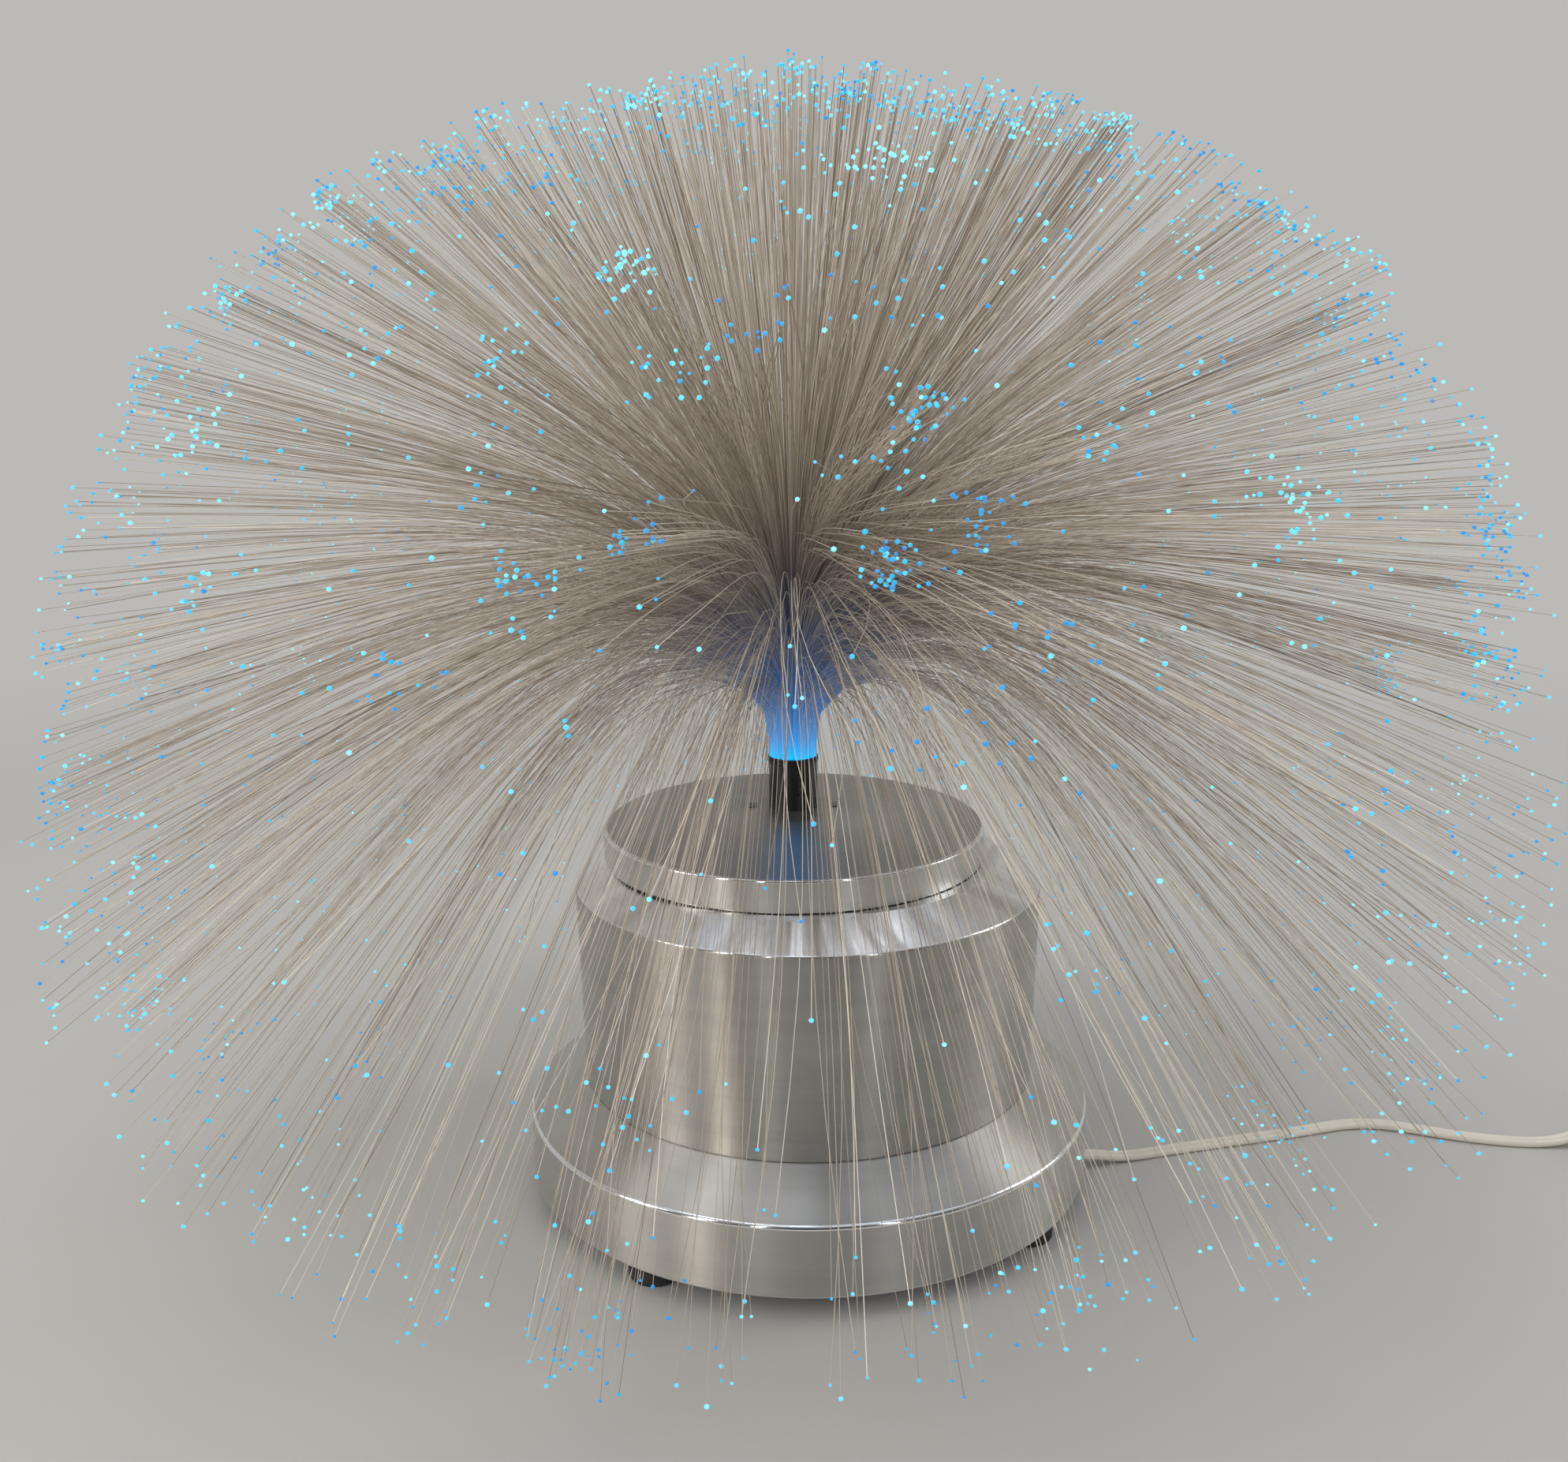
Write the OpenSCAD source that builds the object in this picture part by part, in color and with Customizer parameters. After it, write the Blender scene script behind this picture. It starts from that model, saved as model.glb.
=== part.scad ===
// Table lamp with a spray of light-carrying fibres on a two-tier spun metal base.
// Origin: on the table, straight below the middle of the fibre spray. +Z up, the front faces -Y.

/* [Drum] */
// Radius of the lower drum at its rim
drum_r = 110; // [104:0.5:125]
// Height of the drum's upright side
drum_side_h = 26.8; // [22:0.2:40]
// Height of the drum's lower edge above the table
skirt_gap = 8.2; // [7:0.2:12]
// Rise of the sloping shelf above the drum's side
shelf_rise = 12; // [8:0.5:18]
// Thickness of the spun sheet metal
sheet = 1.2; // [0.8:0.1:1.8]
// Width of the flanges that join drum and body
flange_w = 12; // [10:0.5:16]

/* [Body] */
// Radius of the body at its foot
body_foot_r = 88; // [84:0.5:92]
// Radius of the body at its shoulder
shoulder_r = 89.7; // [86:0.1:96]
// Height of the body's upright side
body_side_h = 76.7; // [74:0.1:95]
// Rise of the polished bevel
bevel_rise = 9.1; // [5:0.1:14]
// Height of the collar that carries the lid
collar_h = 11.2; // [9:0.1:18]

/* [Lid] */
// Radius of the lid
lid_r = 73.2; // [70:0.1:80]
// Loose play between the lid's skirt and the collar
lid_play = 5.4; // [0.6:0.1:6]
// Gap between the lid's skirt and the ledge below it
lid_gap = 0.3; // [0.2:0.1:2]
// How far the fibre stem stands behind the lid's middle
stem_back = 21.5; // [15:0.5:26]

/* [Stem] */
// Outer radius of the stem tube
stem_r = 9.7; // [8.6:0.1:12]
// Wall of the stem tube
stem_wall = 1.2; // [0.8:0.1:1.8]
// Height of the stem tube above the lid
stem_h = 19.6; // [12:0.1:40]
// Depth of the stem tube below the lid's top
stem_drop = 23.7; // [18:0.1:24]
// Radial clearance of the ferrule in the stem tube
ferrule_fit = 0.05; // [0.02:0.01:0.1]
// Wall of the ferrule
ferrule_wall = 0.85; // [0.6:0.05:1.4]
// Thickness of the ferrule's flange
flange_t = 1.2; // [0.8:0.1:3]
// Thickness of the steel strips of the brackets
strip_t = 1.5; // [1:0.1:2]

/* [Fibres] */
// Length of the fibres in the middle of the spray
fibre_top_len = 262; // [250:1:275]
// Length of the fibres on the outside of the spray
fibre_low_len = 336; // [322:1:342]
// Angle that an outside fibre has turned from upright at its tip
low_turn = 150; // [146:1:154]
// How early along its length a fibre bends
bend_power = 3; // [2.8:0.1:3.3]
// Radius of a strand at its root
root_r = 0.21; // [0.16:0.01:0.22]
// Radius of a strand where it stands free
strand_r = 0.5; // [0.3:0.05:0.7]
// Radius of the crown where the fibres leave the stem
crown_r = 9.3; // [9.1:0.1:11]
// Height of the crown
crown_t = 2; // [1.5:0.1:4]

/* [Colour wheel] */
// Radius of the colour wheel
wheel_r = 47; // [45:0.5:50]
// Distance from the wheel's shaft to the fibre bundle
wheel_reach = 36; // [34:0.5:37]
// Thickness of the wheel's frame
wheel_t = 1.2; // [0.8:0.1:2]
// Thickness of a colour filter
filter_t = 0.5; // [0.3:0.1:0.8]
// Air between the filters and the bundle's polished end
wheel_air = 2; // [1:0.1:4]
// Radius of the motor's output shaft
shaft_r = 2; // [1.5:0.1:2.5]
// Running clearance of the shaft in its bearing
shaft_fit = 0.05; // [0.02:0.01:0.1]
// Radius of the motor's can
can_r = 21; // [18:0.5:22]
// Height of the motor's can
can_h = 18; // [14:0.5:22]
// Thickness of the gear case on the motor
gear_t = 8; // [6:0.5:12]

/* [Bulb] */
// Radius of the reflector bulb
bulb_r = 19.5; // [17:0.5:20]
// Length of the bulb with its cap
bulb_len = 66; // [60:1:72]
// Air between the bulb and the wheel
bulb_air = 4.8; // [3:0.1:10]
// Wall of the bulb's glass
glass_t = 0.9; // [0.6:0.1:1.4]
// Radius of the lamp holder
holder_r = 13; // [11:0.5:16]
// Radius of the bulb's screw cap
cap_r = 6.8; // [6:0.1:7.5]

/* [Base plate and feet] */
// Depth of the base plate inside the drum's lower edge
plate_recess = 5.8; // [5:0.1:7]
// Thickness of the base plate
plate_t = 1.2; // [0.8:0.1:2]
// Radius of a rubber foot
foot_r = 10; // [8:0.5:11]
// Distance of a foot's middle from the drum's side
foot_inset = 12; // [12:0.5:20]
// Direction of the first foot, seen from above
foot_angle = -125; // [-135:1:-115]

/* [Cord] */
// Width of the flat twin cord
cord_w = 6; // [5:0.2:6.4]
// Thickness of the flat twin cord
cord_t = 3; // [2.4:0.1:3.2]
// Radius of the coil's outer turn
coil_r = 45; // [42:0.5:48]
// Turns in each of the coil's two layers
coil_turns = 3; // [2:1:3]
// Distance from one turn of a layer to the next
coil_pitch = 6.5; // [6.5:0.1:7.5]
// Height from one layer to the next
coil_step = 3.6; // [3.5:0.1:4.5]

/* [Switch and plug] */
// Length of the cord switch
switch_l = 62; // [56:1:70]
// Width of the cord switch
switch_w = 28; // [26:0.5:32]
// Height of the cord switch
switch_h = 17; // [16:0.5:20]
// Wall of the switch's two halves
switch_wall = 2; // [1.6:0.1:2.4]
// Tilt of the rocker to each side
rocker_tilt = 8; // [5:0.5:9]
// Length of the plug's body
plug_l = 36; // [32:1:40]
// Thickness of the plug's body
plug_t = 14; // [12:0.5:16]
// Radius of a plug pin
pin_r = 2; // [1.8:0.1:2.4]
// Distance between the plug's pins
pin_pitch = 18.6; // [17:0.1:19]
// Length of a plug pin
pin_l = 19; // [17:0.5:21]

/* [Hidden] */
$fn = 96;

// Small clearances and fastener sizes
slip = 0.4;          // a shell round a plate
hole_gap = 0.15;     // a screw in its hole
screw_r = 2;         // M4 shank
head_r = 3.9;
head_h = 2.4;

// Heights of the outer shells
rim_z = skirt_gap + drum_side_h;
shelf_z = rim_z + shelf_rise;
shoulder_z = shelf_z + body_side_h;
ledge_z = shoulder_z + bevel_rise;
lid_under_z = ledge_z + collar_h;
lid_top_z = lid_under_z + sheet;

// Radii of the outer shells
ledge_r = lid_r + 0.5;
collar_r = lid_r - sheet - lid_play;
flange_in_r = body_foot_r - flange_w;
shell_screw_ring = body_foot_r - flange_w / 2 - sheet / 2;

// The lid lies against its collar on one side, so the base stands off the spray's middle
base_x = lid_play - 0.2;
base_y = -stem_back;

// Stem, ferrule and bundle
stem_top_z = lid_top_z + stem_h;
stem_bottom_z = lid_top_z - stem_drop;
ferrule_r = stem_r - stem_wall - ferrule_fit;
bundle_r = ferrule_r - ferrule_wall;
crown_z = stem_top_z + flange_t;
crown_top_z = crown_z + crown_t;
ferrule_bottom_z = stem_bottom_z - 2;
bundle_end_z = ferrule_bottom_z - 1;
slot_reach = stem_r + 6.6;   // the bracket's tabs stand beside the tube
tab_w = 3;
tab_l = 6.4;

// Colour wheel and motor
wheel_top_z = bundle_end_z - wheel_air - filter_t;
wheel_z = wheel_top_z - wheel_t;
hub_r = 6;
hub_drop = 2.8;
gear_top_z = wheel_z - hub_drop - 1;
can_z = gear_top_z - gear_t - can_h;
wheel_y = -wheel_reach;
can_y = wheel_y - can_r - 3;
gear_nose_r = 8;
motor_screws = 11;    // from the bracket's middle to its screws
wheel_turn = 135;    // the blue filter stands over the bulb
window_in_r = wheel_reach - 11;
window_out_r = min(wheel_reach + 11, wheel_r - 2);

// Bulb and its holder
bulb_top_z = wheel_z - bulb_air;
cap_z = bulb_top_z - bulb_len;
cap_h = 24;
holder_z = cap_z - 16;
holder_h = 32;

// Base plate and feet
plate_z = skirt_gap + plate_recess;
plate_top_z = plate_z + plate_t;
plate_r = drum_r - sheet - slip;
lip_w = 8.4;
plate_screw_ring = drum_r - sheet - lip_w / 2;
foot_ring = drum_r - foot_inset;
air_ring = 40;
air_holes = 16;
air_r = 3;

// Cord: points along its middle, from the gland to the switch, switch to coil, coil to plug
gland_pos = [84, -34.7];
gland_turn = 15;
gland_z = 5.6;
gland_l = 24;
cord_z = cord_t / 2;
switch_pos = [338, -12];
mains_route = [[gland_pos.x + (gland_l + 0.1) * cos(gland_turn), gland_pos.y + (gland_l + 0.1) * sin(gland_turn), gland_z],
    [113, -27, 5.4], [121, -24.8, 4.4], [130, -22.3, 2.4], [140, -19.6, cord_z],
    [154, -15.6, cord_z], [168, -12, cord_z], [182, -8.4, cord_z], [196, -4.9, cord_z],
    [210, -1.2, cord_z], [222, 2.4, cord_z], [233, 5.2, cord_z], [243, 5.6, cord_z],
    [253, 3.4, cord_z], [264, -1, cord_z], [276, -5.6, cord_z], [289, -9.4, cord_z],
    [302, -11.6, cord_z], [314, -12, 2.4], [326, -12, 6], [switch_pos.x - 0.6, -12, 8]];
coil_pos = [385, -120];
link_route = [[switch_pos.x + switch_l + 0.6, -12, 8], [408, -12.6, 7], [416, -16.5, 5], [422.5, -23, 3],
    [426.6, -32, cord_z], [428.4, -44, cord_z], [428.6, -58, cord_z], [428.4, -72, cord_z],
    [429.4, -88, cord_z], [coil_pos.x + coil_r, -104, cord_z], [coil_pos.x + coil_r, -119.2, cord_z]];
plug_start = [coil_pos.x - coil_r, -92];
tail_route = [[coil_pos.x - coil_r, -119.2, cord_z + coil_step], [coil_pos.x - coil_r, -114, 5.4],
    [coil_pos.x - coil_r, -106, 6.2], [coil_pos.x - coil_r, -99, plug_t / 2],
    [coil_pos.x - coil_r, -92, plug_t / 2]];

// ---------------------------------------------------------------- shared shapes

function unit(v) = v / norm(v);

// An oval of the cord's width and thickness, with n corners
function oval(w, t, n) = [for (i = [0 : n - 1])
    let (a = 360 * (i + 0.5) / n, k = cos(180 / n)) [w / 2 * cos(a) / k, t / 2 * sin(a) / k]];

// The direction of a route at point i, and the ring of corners of a tube there
function heading(path, i) = unit(path[min(i + 1, len(path) - 1)] - path[max(i - 1, 0)]);
function ring(p, t, up_hint, shape) =
    let (side = unit(cross(t, up_hint)), up = cross(side, t))
    [for (q = shape) p + q.x * side + q.y * up];

// Triangles of a closed tube of m rings with n corners each
function tube_faces(m, n) = concat(
    [for (j = [1 : n - 2]) [0, j + 1, j]],
    [for (i = [0 : m - 2]) for (j = [0 : n - 1]) let (k = (j + 1) % n)
        each [[i * n + j, i * n + k, (i + 1) * n + k], [i * n + j, (i + 1) * n + k, (i + 1) * n + j]]],
    [for (j = [1 : n - 2]) [(m - 1) * n, (m - 1) * n + j, (m - 1) * n + j + 1]]);

module tube(path, shape, up_hint = [0, 0, 1]) {
    rings = [for (i = [0 : len(path) - 1]) each ring(path[i], heading(path, i), up_hint, shape)];
    polyhedron(rings, tube_faces(len(path), len(shape)), convexity = 6);
}

// A slotted screw with its head above the origin and its shank below it
module screw(r, l, hr = head_r, hh = head_h) {
    translate([0, 0, -l]) cylinder(r = r, h = l + hh / 2);
    difference() {
        cylinder(r1 = hr, r2 = hr * 0.82, h = hh);
        translate([-hr, -0.5, hh - 0.8]) cube([2 * hr, 1, 1]);
    }
}

module at_base() translate([base_x, base_y, 0]) children();

module round_array(count, r, first = 0)
    for (i = [0 : count - 1]) rotate(first + i * 360 / count) translate([r, 0, 0]) children();

// ---------------------------------------------------------------- outer shells

module drum_shell() color("silver") at_base() {
    slope = atan2(shelf_rise, drum_r - body_foot_r);
    drop = sheet / cos(slope);
    difference() {
        rotate_extrude($fn = 180) polygon([
            [drum_r, skirt_gap], [drum_r, rim_z - 0.5], [drum_r - 0.6, rim_z + 0.3],
            [body_foot_r, shelf_z], [flange_in_r, shelf_z], [flange_in_r, shelf_z - sheet],
            [body_foot_r - 0.4, shelf_z - sheet], [drum_r - sheet, rim_z + 0.5 - drop],
            [drum_r - sheet, plate_top_z + sheet], [drum_r - sheet - lip_w, plate_top_z + sheet],
            [drum_r - sheet - lip_w, plate_top_z], [drum_r - sheet, plate_top_z],
            [drum_r - sheet, skirt_gap]]);
        round_array(4, shell_screw_ring, 45) translate([0, 0, shelf_z - 3 * sheet])
            cylinder(r = screw_r + hole_gap, h = 6 * sheet);
        round_array(4, plate_screw_ring, foot_angle + 45) translate([0, 0, plate_z])
            cylinder(r = screw_r + hole_gap, h = 4 * sheet + plate_t);
    }
}

module body_shell() color("gainsboro") at_base() difference() {
    slope = atan2(bevel_rise, shoulder_r - ledge_r);
    drop = sheet / cos(slope);
    rotate_extrude($fn = 180) polygon([
        [flange_in_r, shelf_z], [body_foot_r, shelf_z],
        [shoulder_r, shoulder_z - 0.5], [shoulder_r - 0.5, shoulder_z + 0.3],
        [ledge_r, ledge_z], [collar_r, ledge_z], [collar_r, lid_under_z],
        [collar_r - sheet, lid_under_z], [collar_r - sheet, ledge_z - sheet],
        [ledge_r - 0.3, ledge_z - sheet], [shoulder_r - sheet, shoulder_z + 0.5 - drop],
        [body_foot_r - sheet, shelf_z + sheet], [flange_in_r, shelf_z + sheet]]);
    round_array(4, shell_screw_ring, 45) translate([0, 0, shelf_z - sheet])
        cylinder(r = screw_r + hole_gap, h = 4 * sheet);
}

// Screws with nuts that clamp the body's flange to the drum's
module shell_screws() color("dimgray") at_base() round_array(4, shell_screw_ring, 45) {
    translate([0, 0, shelf_z + sheet]) screw(screw_r, 2 * sheet + 4);
    translate([0, 0, shelf_z - sheet - 3]) difference() {
        cylinder(r = 3.9, h = 3, $fn = 6);
        translate([0, 0, -1]) cylinder(r = screw_r - 0.01, h = 5);
    }
}

// ---------------------------------------------------------------- base plate and feet

module base_plate() color("darkgray") {
    difference() {
        at_base() difference() {
            translate([0, 0, plate_z]) cylinder(r = plate_r, h = plate_t, $fn = 180);
            round_array(4, plate_screw_ring, foot_angle + 45) translate([0, 0, plate_z - 1])
                cylinder(r = screw_r + hole_gap, h = plate_t + 2);
            round_array(4, foot_ring, foot_angle) translate([0, 0, plate_z - 1])
                cylinder(r = screw_r + hole_gap, h = plate_t + 2);
            // ring of air holes
            round_array(air_holes, air_ring, 180 / air_holes) translate([0, 0, plate_z - 1])
                cylinder(r = air_r, h = plate_t + 2, $fn = 24);
        }
        // where the lug for the gland is bent out of the plate
        gland_frame() translate([-24, -7, plate_z - 1]) cube([23.2, 14, plate_t + 2]);
    }
    gland_frame() difference() {
        translate([-0.8, -7, 0.8]) cube([1.6, 14, plate_z - 0.8]);
        translate([-3, 0, gland_z]) rotate([0, 90, 0]) cylinder(r = 3.6, h = 6, $fn = 48);
    }
}

module base_plate_screws() color("dimgray") at_base() round_array(4, plate_screw_ring, foot_angle + 45)
    translate([0, 0, plate_z]) mirror([0, 0, 1]) screw(screw_r, plate_t + sheet + 3);

module foot(i) color("#1c1c1c") at_base() rotate(foot_angle + 90 * i) translate([foot_ring, 0, 0])
    rotate_extrude() polygon([[4.6, 0], [foot_r - 1.6, 0], [foot_r - 0.6, 0.8],
        [foot_r, plate_z - 1], [foot_r - 0.4, plate_z], [screw_r + hole_gap, plate_z],
        [screw_r + hole_gap, plate_z - 4], [4.6, plate_z - 4]]);
module foot_front_left() foot(0);
module foot_front_right() foot(1);
module foot_back_right() foot(2);
module foot_back_left() foot(3);

module foot_screws() color("dimgray") at_base() round_array(4, foot_ring, foot_angle)
    translate([0, 0, plate_z - 4]) mirror([0, 0, 1]) screw(screw_r, plate_t + 7);

// ---------------------------------------------------------------- bulb and holder

module lamp_holder() color("ivory") difference() {
    union() {
        translate([0, 0, holder_z]) cylinder(r = holder_r, h = holder_h);
        translate([0, 0, holder_z + holder_h - 4]) cylinder(r = holder_r + 1.5, h = 3);
    }
    translate([0, 0, cap_z - 0.3]) cylinder(r = cap_r + 0.3, h = holder_h);
}

module holder_bracket() color("lightgray") difference() {
    union() {
        // shelf, web and foot of a bent strip
        translate([-12, -holder_r, holder_z - strip_t]) cube([24, 2 * holder_r + 4, strip_t]);
        translate([-12, holder_r + 4 - strip_t, plate_top_z])
            cube([24, strip_t, holder_z - plate_top_z]);
        translate([-12, holder_r + 4 - strip_t, plate_top_z]) cube([24, 14, strip_t]);
    }
    translate([0, 0, holder_z - 4]) cylinder(r = 3.2, h = 8);
    for (x = [-7, 7]) translate([x, holder_r + 11, plate_z]) cylinder(r = 1.6, h = 8, $fn = 32);
}

module bulb_cap() color("goldenrod") translate([0, 0, cap_z]) {
    rotate_extrude() polygon(concat(
        [[0, 0], [2.6, 0], [3.4, 1.2], [cap_r - 0.8, 2.6]],
        [for (i = [0 : 4]) each [[cap_r - 0.7, 4 + 3 * i], [cap_r, 5.5 + 3 * i]]],
        [[cap_r - 0.5, cap_h - 1.4], [cap_r - 0.5, cap_h], [0, cap_h]]));
}

// Outline of a reflector bulb from its neck to its domed front, inset by the given amount
function bulb_outline(inset) = let (z0 = cap_h, top = bulb_len) concat(
    [[cap_r - 0.5 - inset, z0], [cap_r - 0.5 - inset, z0 + 1], [cap_r + 1.8 - inset, z0 + 5]],
    [for (i = [0 : 5]) let (u = i / 5) [cap_r + 2.6 + (bulb_r - cap_r - 2.6) * sin(90 * u) - inset,
        z0 + 9 + (top - z0 - 19) * u]],
    [for (i = [1 : 6]) let (a = 15 * i) [(bulb_r - inset) * cos(a), top - 9 + (9 - inset) * sin(a)]]);

module bulb_glass() color("lightcyan") translate([0, 0, cap_z]) {
    inner = bulb_outline(glass_t);
    rotate_extrude() polygon(concat(bulb_outline(0), [for (i = [len(inner) - 1 : -1 : 0]) inner[i]]));
}

module bulb_filament() color("orange") translate([0, 0, cap_z]) {
    translate([0, 0, cap_h]) cylinder(r1 = 4, r2 = 1.8, h = 14, $fn = 32);
    for (s = [-1, 1]) translate([s * 1.2, 0, cap_h + 13]) rotate([0, s * 14, 0])
        cylinder(r = 0.35, h = 12, $fn = 16);
    translate([-5, 0, cap_h + 24]) rotate([0, 90, 0]) cylinder(r = 0.8, h = 10, $fn = 16);
}

// ---------------------------------------------------------------- motor and colour wheel

module gear_outline() {
    translate([0, can_y]) circle(r = can_r);
    translate([0, wheel_y]) circle(r = gear_nose_r);
    // straight sides that touch both circles
    gap = wheel_y - can_y;
    lean = asin((can_r - gear_nose_r) / gap);
    polygon([
        [can_r * cos(lean), can_y + can_r * sin(lean)],
        [gear_nose_r * cos(lean), wheel_y + gear_nose_r * sin(lean)],
        [-gear_nose_r * cos(lean), wheel_y + gear_nose_r * sin(lean)],
        [-can_r * cos(lean), can_y + can_r * sin(lean)]]);
}

module motor_can() color("silver") translate([0, can_y, can_z]) cylinder(r = can_r, h = can_h);

module motor_gearcase() color("whitesmoke") difference() {
    translate([0, 0, can_z + can_h]) linear_extrude(gear_t) gear_outline();
    translate([0, wheel_y, gear_top_z - gear_t + 1]) cylinder(r = shaft_r + shaft_fit, h = gear_t + 2);
}

module motor_bracket() color("lightgray") difference() {
    y0 = can_y - can_r - 3;
    w = 34;
    union() {
        translate([-w / 2, y0, can_z - strip_t]) cube([w, can_r + 16, strip_t]);
        translate([-w / 2, y0, plate_top_z]) cube([w, strip_t, can_z - plate_top_z]);
        translate([-w / 2, y0, plate_top_z]) cube([w, 15, strip_t]);
    }
    for (x = [-motor_screws, motor_screws]) translate([x, y0 + 9, plate_z]) cylinder(r = 1.6, h = 8, $fn = 32);
    translate([0, y0 + 14, can_z - 4]) cylinder(r = 4, h = 8);
}

// Screws that hold both brackets down on the base plate
module bracket_screws() color("dimgray") {
    for (x = [-7, 7]) translate([x, holder_r + 11, plate_top_z + strip_t])
        screw(1.5, strip_t - 0.2, 2.8, 1.8);
    for (x = [-motor_screws, motor_screws]) translate([x, can_y - can_r + 6, plate_top_z + strip_t])
        screw(1.5, strip_t - 0.2, 2.8, 1.8);
}

module motor_shaft() color("silver") translate([0, wheel_y, gear_top_z - gear_t + 1.2])
    cylinder(r = shaft_r, h = wheel_top_z + 2 - gear_top_z + gear_t - 1.2);

module wheel_hub() color("ivory") translate([0, wheel_y, 0]) difference() {
    union() {
        translate([0, 0, wheel_z - hub_drop]) cylinder(r = hub_r, h = hub_drop);
        translate([0, 0, wheel_z - 0.1]) cylinder(r = 3.9, h = wheel_t + 1.6);
    }
    translate([0, 0, wheel_z - hub_drop - 1]) cylinder(r = shaft_r + 0.03, h = hub_drop + wheel_t + 4);
}

module wheel_frame() color("whitesmoke") translate([0, wheel_y, wheel_z]) difference() {
    cylinder(r = wheel_r, h = wheel_t);
    translate([0, 0, -1]) cylinder(r = 3.95, h = wheel_t + 2);
    for (i = [0 : 3]) rotate(90 * i + wheel_turn) translate([0, 0, -1]) linear_extrude(wheel_t + 2)
        window(window_in_r, window_out_r, 90, 2.5);
}

// A window between two radii, cut back at its sides by half a spoke
module window(r_in, r_out, sweep, half_spoke) intersection() {
    difference() {
        circle(r = r_out);
        circle(r = r_in);
    }
    translate([half_spoke, half_spoke]) square(r_out);
}

module colour_filter(i, tint) color(tint) translate([0, wheel_y, wheel_top_z]) rotate(90 * i + wheel_turn)
    linear_extrude(filter_t) window(window_in_r - 2, window_out_r + 1.2, 90, 1.2);
module filter_red() colour_filter(0, "crimson");
module filter_amber() colour_filter(1, "orange");
module filter_green() colour_filter(2, "limegreen");
module filter_blue() colour_filter(3, "deepskyblue");

// ---------------------------------------------------------------- wiring inside the base

block_back = 42;
block_side = 14;
block_pos = [base_x - block_back, base_y - block_side];
block_size = [17, 30, 13];

module terminal_block() color("white") translate([block_pos.x, block_pos.y, plate_top_z]) difference() {
    cube(block_size);
    for (i = [0 : 2]) translate([block_size.x / 2, 5 + 10 * i, 5]) cylinder(r = 2.2, h = 20, $fn = 32);
    for (i = [0 : 2]) translate([-1, 5 + 10 * i, 4]) rotate([0, 90, 0])
        cylinder(r = 1.7, h = block_size.x + 2, $fn = 32);
}

module terminal_screws() color("goldenrod") translate([block_pos.x, block_pos.y, plate_top_z])
    for (i = [0 : 2]) translate([block_size.x / 2, 5 + 10 * i, 5.8]) cylinder(r = 2, h = 5, $fn = 32);

wire_r = 1.1;
wire_shape = oval(2 * wire_r, 2 * wire_r, 8);
block_out_x = block_pos.x + block_size.x;
wire_z = plate_top_z + 4;

// From the block to the side of the lamp holder, each in a lane of its own
module lamp_wires() color("saddlebrown") {
    x0 = block_out_x + 0.2;
    y0 = block_pos.y + 5;
    y1 = y0 + 10;
    end_x = -holder_r - 0.1;
    end_z = holder_z + 8;
    tube([[x0, y0, wire_z], [x0 + 2, y0 + 0.2, wire_z + 0.4], [x0 + 2.4, y0 + 2, wire_z + 2.3],
        [x0 + 2, y0 + 6.5, wire_z + 5.3], [x0 + 2, -12, wire_z + 9.8], [x0 + 2, -4.5, end_z - 2],
        [x0 + 3.1, -3, end_z], [end_x, -3, end_z]], wire_shape, [0, 1, 0]);
    tube([[x0, y1, wire_z], [x0 + 2.4, y1 + 0.1, wire_z + 0.1], [x0 + 4.4, y1 + 1.5, wire_z + 1.3],
        [x0 + 4.7, -12, wire_z + 5.8], [x0 + 4.6, -4, wire_z + 10.8], [x0 + 4, 1.5, end_z - 1.5],
        [x0 + 4.2, 3, end_z], [end_x, 3, end_z]], wire_shape, [0, 1, 0]);
}

// From the block's other side to the motor's can
module motor_wires() color("royalblue") for (i = [0, 1]) {
    start = [block_pos.x - 0.2, block_pos.y + 5 + 10 * i, wire_z];
    side_x = block_pos.x - 5 - 3 * i;
    end_y = can_y + 3 * i;
    tube([start, start - [2.5, 0, 0], [side_x, start.y - 2, start.z + 3],
        [side_x, start.y - 6, start.z + 16], [side_x + 4, can_y + 12 + 3 * i, can_z - 26],
        [-can_r - 4 - 3 * i, end_y, can_z + 2], [-can_r - 3, end_y, can_z + 7],
        [-can_r - 0.3, end_y, can_z + 8]], wire_shape, [0, 1, 0]);
}

// The flat lead from the gland, up through the plate, under its clamp and on to the block
function from_gland(s, z) = [gland_pos.x + s * cos(gland_turn), gland_pos.y + s * sin(gland_turn), z];
module inner_lead() color("ivory") {
    top = plate_top_z + cord_t / 2 + 0.2;
    end = [block_out_x + 0.2, block_pos.y + 25, top + 1.6];
    tube([from_gland(-3.6, gland_z), from_gland(-7, gland_z + 0.6), from_gland(-11, gland_z + 3.4),
        from_gland(-14.5, plate_z - 0.6), from_gland(-18, top - 1.2), from_gland(-23, top),
        from_gland(-38, top), [38, -45, top], [27, -40, top], [18, -30, top], [10, -19, top],
        [0, -12.5, top], [end.x + 9, end.y, top + 0.8], [end.x + 4, end.y, end.z], end],
        oval(cord_w - 0.4, cord_t - 0.2, 8));
}

module cord_clamp() color("white") gland_frame() translate([-31, 0, plate_top_z]) difference() {
    translate([-4, -9, 0]) cube([8, 18, cord_t + 2.4]);
    translate([-5, -cord_w / 2 - 0.3, -1]) cube([10, cord_w + 0.6, cord_t + 1.6]);
    for (y = [-6.4, 6.4]) translate([0, y, -1]) cylinder(r = 1.2, h = 10, $fn = 32);
}

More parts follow.
